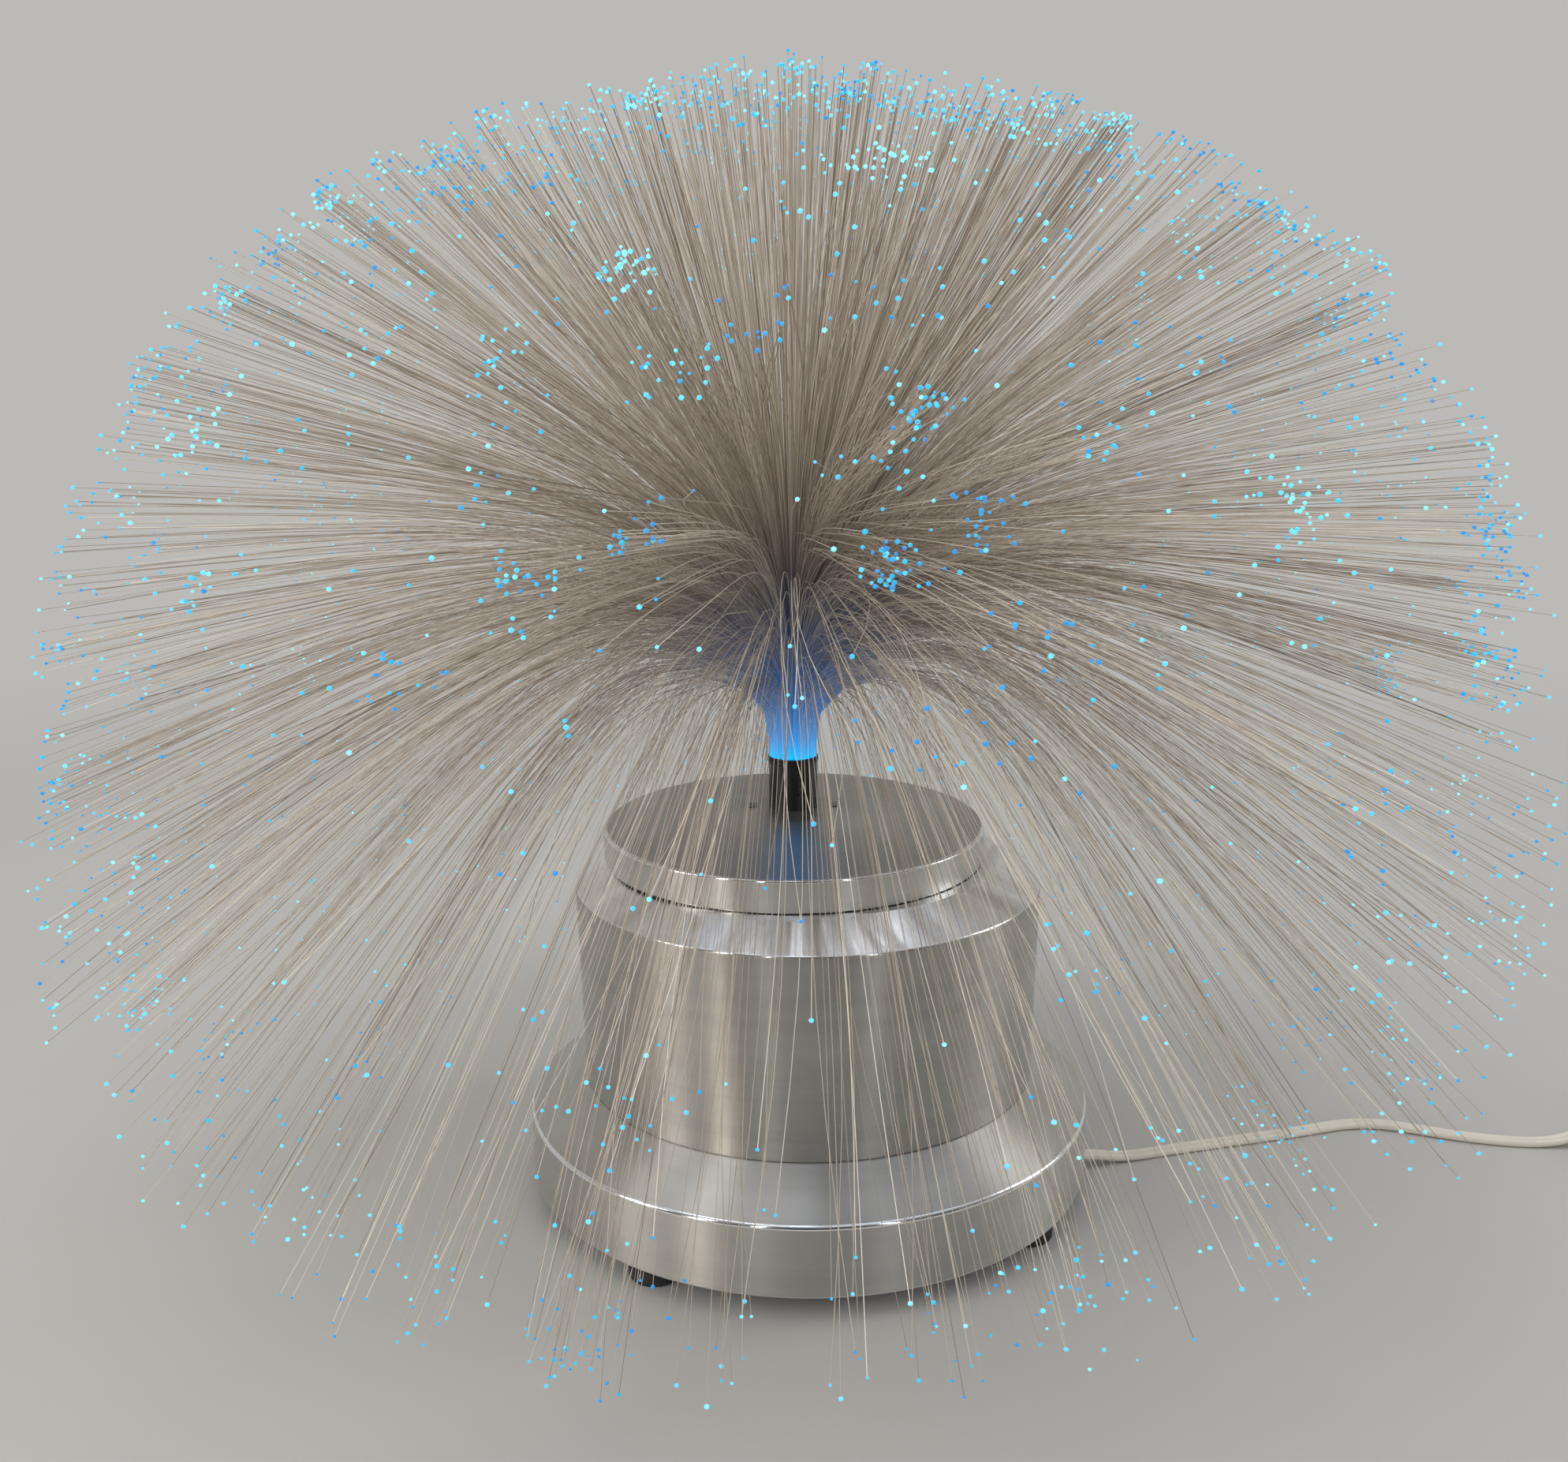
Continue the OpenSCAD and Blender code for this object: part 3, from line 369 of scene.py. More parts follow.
class Bench:
    """Lays out the nodes of one material or group."""

    def __init__(self, tree: NodeTree) -> None:
        """Starts on an empty tree."""
        self.tree = tree

    def feed(self, node: Node, inputs: dict[str | int, NodeValue]) -> None:
        """Fills a node's inputs.

        Args:
            node: the node
            inputs: a value or an output socket for each named or numbered input
        """
        for key, value in inputs.items():
            if isinstance(value, Socket):
                self.tree.links.new(value, node.inputs[key])
            else:
                node.inputs[key].default_value = value

    def add(self, kind: str, inputs: dict[str | int, NodeValue] | None = None,
            **settings: NodeValue) -> Node:
        """Adds a node.

        Args:
            kind: the node's type name
            inputs: what feed takes
            settings: the node's own properties

        Returns:
            the node
        """
        node = self.tree.nodes.new(kind)
        for key, value in settings.items():
            setattr(node, key, value)
        self.feed(node, inputs or {})
        return node

    def math(self, operation: str, *values: NodeValue) -> Socket:
        """Adds a Math node on the values and returns its output."""
        return self.add("ShaderNodeMath", dict(enumerate(values)), operation=operation).outputs[0]

    def mix(self, factor: Socket, first: NodeValue, second: NodeValue) -> Socket:
        """Mixes two colours and returns the result."""
        return self.add("ShaderNodeMix", {0: factor, 6: first, 7: second},
                        data_type="RGBA").outputs[2]

    def blend(self, factor: Socket, first: Socket, second: Socket) -> Socket:
        """Mixes two shaders and returns the result."""
        return self.add("ShaderNodeMixShader", {0: factor, 1: first, 2: second}).outputs[0]

    def ramp(self, factor: Socket, stops: Sequence[tuple[float, Colour]]) -> Socket:
        """Adds a colour ramp.

        Args:
            factor: the place on the ramp
            stops: the place and colour of each stop

        Returns:
            the colour
        """
        node = self.add("ShaderNodeValToRGB", {"Fac": factor})
        elements = node.color_ramp.elements
        while len(elements) < len(stops):
            elements.new(0.5)
        for element, (place, colour) in zip(elements, stops):
            element.position = place
            element.color = (*colour, 1)
        return node.outputs["Color"]

    def spread(self, value: Socket, low: float, high: float, start: float = 0.0,
               end: float = 1.0) -> Socket:
        """Maps a value from start..end to low..high and returns it."""
        return self.add("ShaderNodeMapRange", {"Value": value, "From Min": start, "From Max": end,
                                               "To Min": low, "To Max": high}).outputs[0]

    def place(self) -> Socket:
        """Returns the Object coordinates."""
        return self.add("ShaderNodeTexCoord").outputs["Object"]

    def centred(self, centre: Point2) -> Socket:
        """Returns Object coordinates measured from an axis whose place is in millimetres."""
        return self.add("ShaderNodeMapping", {"Vector": self.place(), "Location": (
            -centre[0] * MM, -centre[1] * MM, 0)}).outputs[0]

    def trait(self, name: str) -> Socket:
        """Returns a number that is stored for each vertex."""
        return self.add("ShaderNodeAttribute", attribute_name=name).outputs["Fac"]

    def grouped(self, tree: NodeTree, place: Socket) -> Node:
        """Adds a shared group at the place and returns its node."""
        return self.add("ShaderNodeGroup", {"Vector": place}, node_tree=tree)

    def noise(self, vector: Socket, scale: float, detail: float = 3.0,
              roughness: float = 0.5) -> Socket:
        """Adds a noise texture and returns its value."""
        return self.add("ShaderNodeTexNoise", {"Vector": vector, "Scale": scale, "Detail": detail,
                                               "Roughness": roughness}).outputs["Fac"]

    def bump(self, height: Socket, strength: float, distance: float) -> Socket:
        """Adds a bump of a distance in millimetres and returns its normal."""
        return self.add("ShaderNodeBump", {"Height": height, "Strength": strength,
                                           "Distance": distance * MM}).outputs[0]


def group(name: str, inputs: dict[str, str], outputs: Sequence[str],
          lay: Callable[[Bench, Node, Node], None]) -> NodeTree:
    """Makes a shared node group once.

    Args:
        name: the group's name
        inputs: the socket type of each named input
        outputs: the names of its outputs, all numbers
        lay: lays the nodes between the group's input and output

    Returns:
        the group
    """
    if name in bpy.data.node_groups:
        return bpy.data.node_groups[name]
    tree = bpy.data.node_groups.new(name, "ShaderNodeTree")
    for key, kind in inputs.items():
        tree.interface.new_socket(key, in_out="INPUT", socket_type=kind)
    for key in outputs:
        tree.interface.new_socket(key, in_out="OUTPUT", socket_type="NodeSocketFloat")
    bench = Bench(tree)
    lay(bench, bench.add("NodeGroupInput"), bench.add("NodeGroupOutput"))
    return tree


def turning_marks() -> NodeTree:
    """Makes the group of fine rings that a lathe leaves.

    Returns:
        the group, with the outputs Rings, Bands and Height
    """

    def lay(bench: Bench, start: Node, end: Node) -> None:
        """Reads the distance from the axis and the height, and draws noise along them."""
        xyz = bench.add("ShaderNodeSeparateXYZ", {"Vector": start.outputs["Vector"]})
        flat = bench.math("POWER", bench.math("ADD", bench.math("POWER", xyz.outputs[0], 2.0),
                                              bench.math("POWER", xyz.outputs[1], 2.0)), 0.5)
        line = bench.add("ShaderNodeCombineXYZ", {"X": flat, "Z": xyz.outputs[2]}).outputs[0]
        rings = bench.noise(line, 2600.0, 2.0, 0.7)
        bands = bench.noise(line, 210.0, 4.0, 0.6)
        height = bench.math("ADD", bench.math("MULTIPLY", rings, 0.6),
                            bench.math("MULTIPLY", bands, 0.4))
        bench.feed(end, {"Rings": rings, "Bands": bands, "Height": height})

    return group("turning_marks", {"Vector": "NodeSocketVector"}, ("Rings", "Bands", "Height"), lay)


def handling() -> NodeTree:
    """Makes the group of soft smudges and fine scratches that use leaves.

    Returns:
        the group, with the outputs Smudge and Scratch
    """

    def lay(bench: Bench, start: Node, end: Node) -> None:
        """Mixes broad clouds with thin stretched lines."""
        cloud = bench.noise(start.outputs["Vector"], 26.0, 5.0, 0.62)
        warp = bench.add("ShaderNodeMapping", {"Vector": start.outputs["Vector"],
                                               "Rotation": (0.4, 0.3, 0.9),
                                               "Scale": (1.0, 34.0, 9.0)}).outputs[0]
        line = bench.math("GREATER_THAN", bench.noise(warp, 60.0, 2.0, 0.5), 0.7)
        bench.feed(end, {"Smudge": bench.spread(cloud, 0.0, 1.0, 0.35, 0.7), "Scratch": line})

    return group("handling", {"Vector": "NodeSocketVector"}, ("Smudge", "Scratch"), lay)


def started(name: str) -> tuple[Material, Bench, Node]:
    """Starts a material.

    Args:
        name: the material's name

    Returns:
        the material, its bench and its shader
    """
    material = bpy.data.materials.new(name)
    material.use_nodes = True
    bench = Bench(material.node_tree)
    return material, bench, material.node_tree.nodes["Principled BSDF"]


def shade(colour: Colour, factor: float) -> Colour:
    """Returns a colour made lighter or darker by a factor, kept under white."""
    return tuple(min(0.98, c * factor) for c in colour)


@dataclass(frozen=True)
class SpunMetal:
    """Sheet metal spun on a lathe.

    Attributes:
        name: the finish's name
        colour: its colour
        roughness: how dull it is
        stretch: how far its highlights are drawn out across the turning marks
        marks: the depth of the turning marks
        centre: the place of the lathe's axis in millimetres
    """

    name: str
    colour: Colour
    roughness: float
    stretch: float
    marks: float
    centre: Point2

    def material(self) -> Material:
        """Builds the finish.

        Returns:
            its material
        """
        material, bench, shader = started(self.name)
        place, rough = bench.centred(self.centre), self.roughness
        marks = bench.grouped(turning_marks(), place).outputs
        wear = bench.grouped(handling(), place).outputs
        dull = bench.math("ADD", bench.spread(marks["Rings"], -0.25 * rough, 0.25 * rough),
                          bench.spread(wear["Smudge"], rough, 1.35 * rough))
        dark, light = shade(self.colour, 0.93), shade(self.colour, 1.05)
        bench.feed(shader, {
            "Base Color": bench.ramp(marks["Bands"], (
                (0.3, dark), (0.5, self.colour), (0.72, light))),
            "Metallic": 1.0,
            "Roughness": bench.math("ADD", dull, bench.math("MULTIPLY", wear["Scratch"], 0.06)),
            "Normal": bench.bump(marks["Height"], self.marks, 0.02),
            "Anisotropic": self.stretch, "Anisotropic Rotation": 0.25})
        return material


class Grain(Enum):
    """The surface of a plain finish: the scale of its grain and its depth."""

    MOULDED = (900.0, 0.12)
    SATIN = (1500.0, 0.08)
    RUBBER = (600.0, 0.35)
    CAST = (420.0, 0.25)
    SMOOTH = (300.0, 0.03)


@dataclass(frozen=True)
class Plain:
    """A plastic, rubber, paint or metal with a fine grain and signs of use.

    Attributes:
        name: the finish's name
        colour: its colour
        roughness: how dull it is
        grain: its surface
        metallic: 1 for bare metal
        coat: the strength of a clear coat
        variation: how far its colour varies
    """

    name: str
    colour: Colour
    roughness: float
    grain: Grain = Grain.MOULDED
    metallic: float = 0.0
    coat: float = 0.0
    variation: float = 0.06

    def material(self) -> Material:
        """Builds the finish.

        Returns:
            its material
        """
        material, bench, shader = started(self.name)
        place, rough = bench.place(), self.roughness
        smudge = bench.grouped(handling(), place).outputs["Smudge"]
        scale, depth = self.grain.value
        grain = bench.noise(place, scale, 3.0, 0.6)
        dark, light = (shade(self.colour, 1 + side * self.variation) for side in (-1, 1))
        bench.feed(shader, {
            "Base Color": bench.ramp(smudge, ((0.0, dark), (1.0, light))),
            "Metallic": self.metallic,
            "Roughness": bench.math("ADD", bench.spread(grain, 0.9 * rough, 1.1 * rough),
                                    bench.spread(smudge, -0.04, 0.05)),
            "Normal": bench.bump(grain, depth, 0.06),
            "Coat Weight": self.coat})
        return material


@dataclass(frozen=True)
class Clear:
    """A clear or tinted glass or film.

    Attributes:
        name: the finish's name
        colour: its tint
        roughness: how frosted it is
        ior: its index of refraction
        glow: the strength of light that it passes on
    """

    name: str
    colour: Colour
    roughness: float = 0.03
    ior: float = 1.5
    glow: float = 0.0

    def material(self) -> Material:
        """Builds the finish.

        Returns:
            its material
        """
        material, bench, shader = started(self.name)
        smudge = bench.grouped(handling(), bench.place()).outputs["Smudge"]
        bench.feed(shader, {
            "Base Color": bench.ramp(smudge, ((0.0, self.colour), (1.0, shade(self.colour, 0.94)))),
            "Roughness": bench.spread(smudge, self.roughness, self.roughness + 0.06),
            "Transmission Weight": 1.0, "IOR": self.ior})
        if self.glow:
            bench.feed(shader, {"Emission Color": (*self.colour, 1),
                                "Emission Strength": self.glow})
        return material


@dataclass(frozen=True)
class FibreFinish:
    """The fibres' sides: tan to grey from strand to strand, blue where the light enters, and darker
    there as a painted shade of the dense core.

    Attributes:
        name: the finish's name
        dark: the darkest strands' colour
        light: the lightest strands' colour
        glow: the colours of the light at the exit and where it fades
        reach: the distances in millimetres over which the two fade; over the second, the painted
            shade near the exit fades too
        strength: the glow's strength at the exit
    """

    name: str
    dark: Colour
    light: Colour
    glow: tuple[Colour, Colour]
    reach: Point2
    strength: float

    def material(self) -> Material:
        """Builds the finish.

        Returns:
            its material
        """
        material, bench, shader = started(self.name)
        tone, along = bench.trait("tone"), bench.trait("along")
        middle = tuple(0.5 * (a + b) for a, b in zip(self.dark, self.light))
        colour = bench.ramp(tone, ((0.0, self.dark), (0.6, middle), (1.0, self.light)))
        near, far = (bench.math("EXPONENT", bench.math("MULTIPLY", along, -1.0 / (reach * MM)))
                     for reach in self.reach)
        at_exit, faded = self.glow
        bench.feed(shader, {
            # Near the exit the colour turns dark blue: a painted shade of the dense core, tinted by
            # the glow.
            "Base Color": bench.mix(far, colour, (*shade(faded, 0.15), 1)),
            "Roughness": 0.32,
            "Emission Color": bench.mix(near, (*faded, 1), (*at_exit, 1)),
            "Emission Strength": bench.math("MULTIPLY", far, self.strength)})
        return material


@dataclass(frozen=True)
class TipFinish:
    """The fibres' bright ends, from deep to pale blue-white.

    Attributes:
        name: the finish's name
        deep: the deepest colour
        middle: the colour of most of them
        pale: the palest colour
        strength: how bright they are
    """

    name: str
    deep: Colour
    middle: Colour
    pale: Colour
    strength: float

    def material(self) -> Material:
        """Builds the finish.

        Returns:
            its material
        """
        material, bench, shader = started(self.name)
        tone = bench.trait("tone")
        bench.feed(shader, {
            "Base Color": (0.02, 0.05, 0.08, 1),
            "Roughness": 0.4,
            "Emission Color": bench.ramp(tone, (
                (0.0, self.deep), (0.35, self.middle), (1.0, self.pale))),
            "Emission Strength": bench.spread(tone, 0.8 * self.strength, 1.15 * self.strength)})
        return material


# ---------------------------------------------------------------- studio


@dataclass
class Studio:
    """The camera, the pale floor and the soft lights round the lamp.

    Attributes:
        backdrop: the colour behind the lamp
        ceiling: the colour straight above it, for the metal to mirror
        floor_colour: the colour of the floor
        fill: the strength of the light from all round
        eye: the camera's place in metres
        tilt: the camera's tilt from straight down, in degrees
        roll: the camera's turn about its own line of sight, in degrees
        lens: the focal length in millimetres on a 36 mm sensor
        room: the colours that metal mirrors, from behind the camera to behind the lamp
        floor_r: the floor's radius in metres
        fade: the distances in metres over which the floor fades into the backdrop
        aim: the point in metres that the lights face
        lights: what light takes, for each of the lights
    """

    backdrop: Colour = (0.50, 0.49, 0.475)
    ceiling: Colour = (1.15, 1.3, 1.5)
    floor_colour: Colour = (0.54, 0.53, 0.515)
    fill: float = 0.5
    eye: Point3 = (-0.0035, -0.6175, 0.321)
    tilt: float = 76.75
    roll: float = -0.44
    lens: float = 36.83
    room: Sequence[tuple[float, Colour]] = (
        (0.0, (0.055, 0.05, 0.047)), (0.3, (0.10, 0.095, 0.09)), (0.62, (0.34, 0.33, 0.32)),
        (1.0, backdrop))
    floor_r: float = 1.7
    fade: Point2 = (0.45, 1.35)
    aim: Point3 = (0.0, 0.0, 0.1)
    lights: Sequence[tuple[str, Point3, Point2, float, Colour]] = (
        ("top_soft", (-0.12, 0.1, 1.7), (1.6, 0.9), 7.5, WHITE),
        ("left_window", (-1.25, -0.55, 0.55), (0.35, 0.9), 4.2, (1.0, 0.95, 0.88)),
        ("left_strip", (-0.80, -0.95, 0.5), (0.10, 0.9), 2.8, (1.0, 0.93, 0.82)),
        ("left_line", (-0.42, -1.25, 0.6), (0.03, 0.8), 0.9, WHITE),
        ("right_line", (0.62, -1.10, 0.6), (0.03, 0.8), 0.9, WHITE),
        ("right_soft", (1.3, 0.2, 0.8), (0.5, 0.9), 3.4, WHITE))

    def camera(self) -> None:
        """Sets the camera at the photograph's place and angle."""
        data = bpy.data.cameras.new("camera")
        data.lens = self.lens
        data.sensor_width = 36.0
        data.sensor_fit = "HORIZONTAL"
        data.clip_start = 0.01
        camera = placed("camera", data)
        camera.matrix_world = (Matrix.Translation(self.eye)
                               @ Matrix.Rotation(math.radians(self.tilt), 4, "X")
                               @ Matrix.Rotation(math.radians(self.roll), 4, "Z"))
        bpy.context.scene.camera = camera

    def world(self) -> None:
        """Lights all round softly, with a darker room behind the camera for the metal to mirror."""
        world = bpy.data.worlds.new("studio")
        world.use_nodes = True
        bpy.context.scene.world = world
        bench = Bench(world.node_tree)
        bench.tree.nodes.clear()
        rays = bench.add("ShaderNodeLightPath").outputs
        seen = bench.math("MAXIMUM", rays["Is Camera Ray"], rays["Is Transmission Ray"])
        way = bench.add("ShaderNodeSeparateXYZ", {
            "Vector": bench.add("ShaderNodeTexCoord").outputs["Generated"]}).outputs
        room = bench.ramp(bench.spread(way[1], 0.0, 1.0, -1.0, 0.5), self.room)
        room = bench.mix(bench.spread(way[2], 0.0, 1.0, 0.7, 0.97), room, (*self.ceiling, 1))
        light, mirror, back = (
            bench.add("ShaderNodeBackground", {"Color": colour, "Strength": power}).outputs[0]
            for colour, power in (((*WHITE, 1), self.fill), (room, 1.0),
                                  ((*self.backdrop, 1), 1.0)))
        lit = bench.blend(rays["Is Glossy Ray"], light, mirror)
        bench.add("ShaderNodeOutputWorld", {"Surface": bench.blend(seen, lit, back)})

    def floor(self) -> None:
        """Lays a round pale floor that fades into the backdrop."""
        deselect()
        bpy.ops.mesh.primitive_circle_add(vertices=96, radius=self.floor_r, fill_type="NGON")
        floor = bpy.context.active_object
        floor.name = "floor"
        material, bench, shader = started("pale_floor")
        place = bench.place()
        away = bench.add("ShaderNodeVectorMath", {0: place}, operation="LENGTH").outputs["Value"]
        rays = bench.add("ShaderNodeLightPath").outputs
        seen = bench.math("MAXIMUM", rays["Is Camera Ray"],
                          bench.math("MAXIMUM", rays["Is Glossy Ray"], rays["Is Transmission Ray"]))
        fade = bench.add("ShaderNodeMapRange", {
            "Value": away, "From Min": self.fade[0], "From Max": self.fade[1]},
            interpolation_type="SMOOTHSTEP").outputs[0]
        bench.feed(shader, {
            "Base Color": bench.ramp(bench.noise(place, 9.0, 4.0), (
                (0.3, shade(self.floor_colour, 0.985)), (0.7, shade(self.floor_colour, 1.015)))),
            "Roughness": 0.75, "Specular IOR Level": 0.2})
        plain = bench.add("ShaderNodeEmission", {"Color": (*self.backdrop, 1), "Strength": 1.0})
        bench.feed(bench.tree.nodes["Material Output"], {0: bench.blend(
            bench.math("MULTIPLY", fade, seen), shader.outputs[0], plain.outputs[0])})
        floor.data.materials.append(material)

    def light(self, name: str, place: Point3, size: Point2, power: float, colour: Colour) -> None:
        """Hangs one soft light.

        Args:
            name: the light's name
            place: its place in metres
            size: its width and height in metres
            power: its power in watts
            colour: its colour
        """
        data = bpy.data.lights.new(name, "AREA")
        data.shape = "RECTANGLE"
        data.size, data.size_y = size
        data.energy = power
        data.color = colour
        way = Vector(place) - Vector(self.aim)
        placed(name, data).matrix_world = (
            Matrix.Translation(place) @ way.to_track_quat("Z", "Y").to_matrix().to_4x4())

    def build(self) -> None:
        """Sets up the whole studio."""
        bpy.context.scene.view_settings.view_transform = "Standard"
        self.camera()
        self.world()
        self.floor()
        for light in self.lights:
            self.light(*light)
        LOG.info("studio: camera at %s, %d soft lights", self.eye, len(self.lights))


# ---------------------------------------------------------------- cord


@dataclass
class Cord(Assembly):
    """The flat twin cord, from the gland through the switch to its coil and plug.

    Attributes:
        width: the cord's width
        thick: its thickness
        lane: the cord's points on the floor to the switch
        across: the points from the switch on to the coil
        tail: the points from the coil to the plug
        coil_centre: the coil's middle
        coil_r: the radius of its outer turns
        pitch: the distance from turn to turn
        step: the height from layer to layer
        turns: the turns of one layer
        per_turn: the number of points along a turn
        steps: the number of steps from one given point to the next, outside the coil
    """

    width: float = 6.0
    thick: float = 3.0
    lane: Sequence[Point3] = (
        (107.28, -28.46, 5.6), (113, -27, 5.4), (121, -24.8, 4.4), (130, -22.3, 2.4),
        (140, -19.6, 1.5), (154, -15.6, 1.5), (168, -12, 1.5), (182, -8.4, 1.5),
        (196, -4.9, 1.5), (210, -1.2, 1.5), (222, 2.4, 1.5), (233, 5.2, 1.5), (243, 5.6, 1.5),
        (253, 3.4, 1.5), (264, -1, 1.5), (276, -5.6, 1.5), (289, -9.4, 1.5), (302, -11.6, 1.5),
        (314, -12, 2.4), (326, -12, 6), (338, -12, 8))
    across: Sequence[Point3] = (
        (400, -12, 8), (408, -12.6, 7), (416, -16.5, 5), (422.5, -23, 3), (426.6, -32, 1.5),
        (428.4, -44, 1.5), (428.6, -58, 1.5), (428.4, -72, 1.5), (429.4, -88, 1.5),
        (430, -104, 1.5))
    tail: Sequence[Point3] = ((340, -114, 5.4), (340, -106, 6.2), (340, -99, 7), (340, -92, 7))
    coil_centre: Point2 = (385.0, -120.0)
    coil_r: float = 45.0
    pitch: float = 6.5
    step: float = 3.6
    turns: int = 3
    per_turn: int = 36
    steps: int = 3

    def coil_point(self, u: float) -> Point3:
        """Follows the coil, in on the floor and out again on top.

        Args:
            u: the number of turns from the coil's start

        Returns:
            the point in millimetres
        """

        def ramp(start: float, end: float) -> float:
            """Runs from 0 to 1 between two turns."""
            return min(1.0, max(0.0, (u - start) / (end - start)))

        t = self.turns
        r = self.coil_r - self.pitch * min(u, t) + self.pitch * max(0.0, u - t - 0.5)
        r -= self.pitch / 2 * (ramp(t - 0.25, t) - ramp(t + 0.5, t + 0.75))
        a = -2 * math.pi * u
        return (self.coil_centre[0] + r * math.cos(a), self.coil_centre[1] + r * math.sin(a),
                self.thick / 2 + self.step * ramp(t, t + 0.5))

    def path(self) -> list[Point3]:
        """Joins the cord's stretches.

        Returns:
            its whole line in millimetres
        """
        count = round((2 * self.turns + 0.5) * self.per_turn)
        coil = [self.coil_point(i / self.per_turn) for i in range(count + 1)]
        start = eased(self.lane, self.steps)
        middle = eased([*self.across, coil[0]], self.steps)[:-1]
        end = eased([coil[-1], *self.tail], self.steps)[1:]
        (x0, y, z), x1 = self.lane[-1], self.across[0][0]
        through = [(x0 + (x1 - x0) * i / 6, y, z) for i in range(1, 6)]
        return [*start, *through, *middle, *coil, *end]

    def section(self) -> Piece:
        """Draws the outline of the cord: two round leads side by side with a groove between.

        Returns:
            the closed curve
        """
        r, gap = self.thick / 2, self.width / 2 - self.thick / 2
        right = [(gap + r * math.cos(a), r * math.sin(a), 0.0) for a in map(
            math.radians, (-150, -115, -80, -45, -15, 15, 45, 80, 115, 150))]
        left = [(-x, -y, z) for x, y, z in right]
        section = drawn("cord_section", [[*right, *left]], dimensions="2D")
        section.data.splines[0].use_cyclic_u = True
        return section

    def build(self, pieces: Sequence[Piece]) -> None:
        """Args:
            pieces: the switch's and the plug's pieces, which lie on the cord; not used
        """
        line, section = self.path(), self.section()
        cord = meshed(drawn("cord", [line], dimensions="3D", twist_mode="Z_UP",
                            bevel_mode="OBJECT", bevel_object=section, use_fill_caps=True))
        bpy.data.objects.remove(section, do_unlink=True)
        smoothed(cord, 50)
        self.dress(cord, "cord_plastic", Body.BASE, "mains_cord", "link_cord", "cord_coil",
                   "cord_tail")


# ---------------------------------------------------------------- spray of fibres


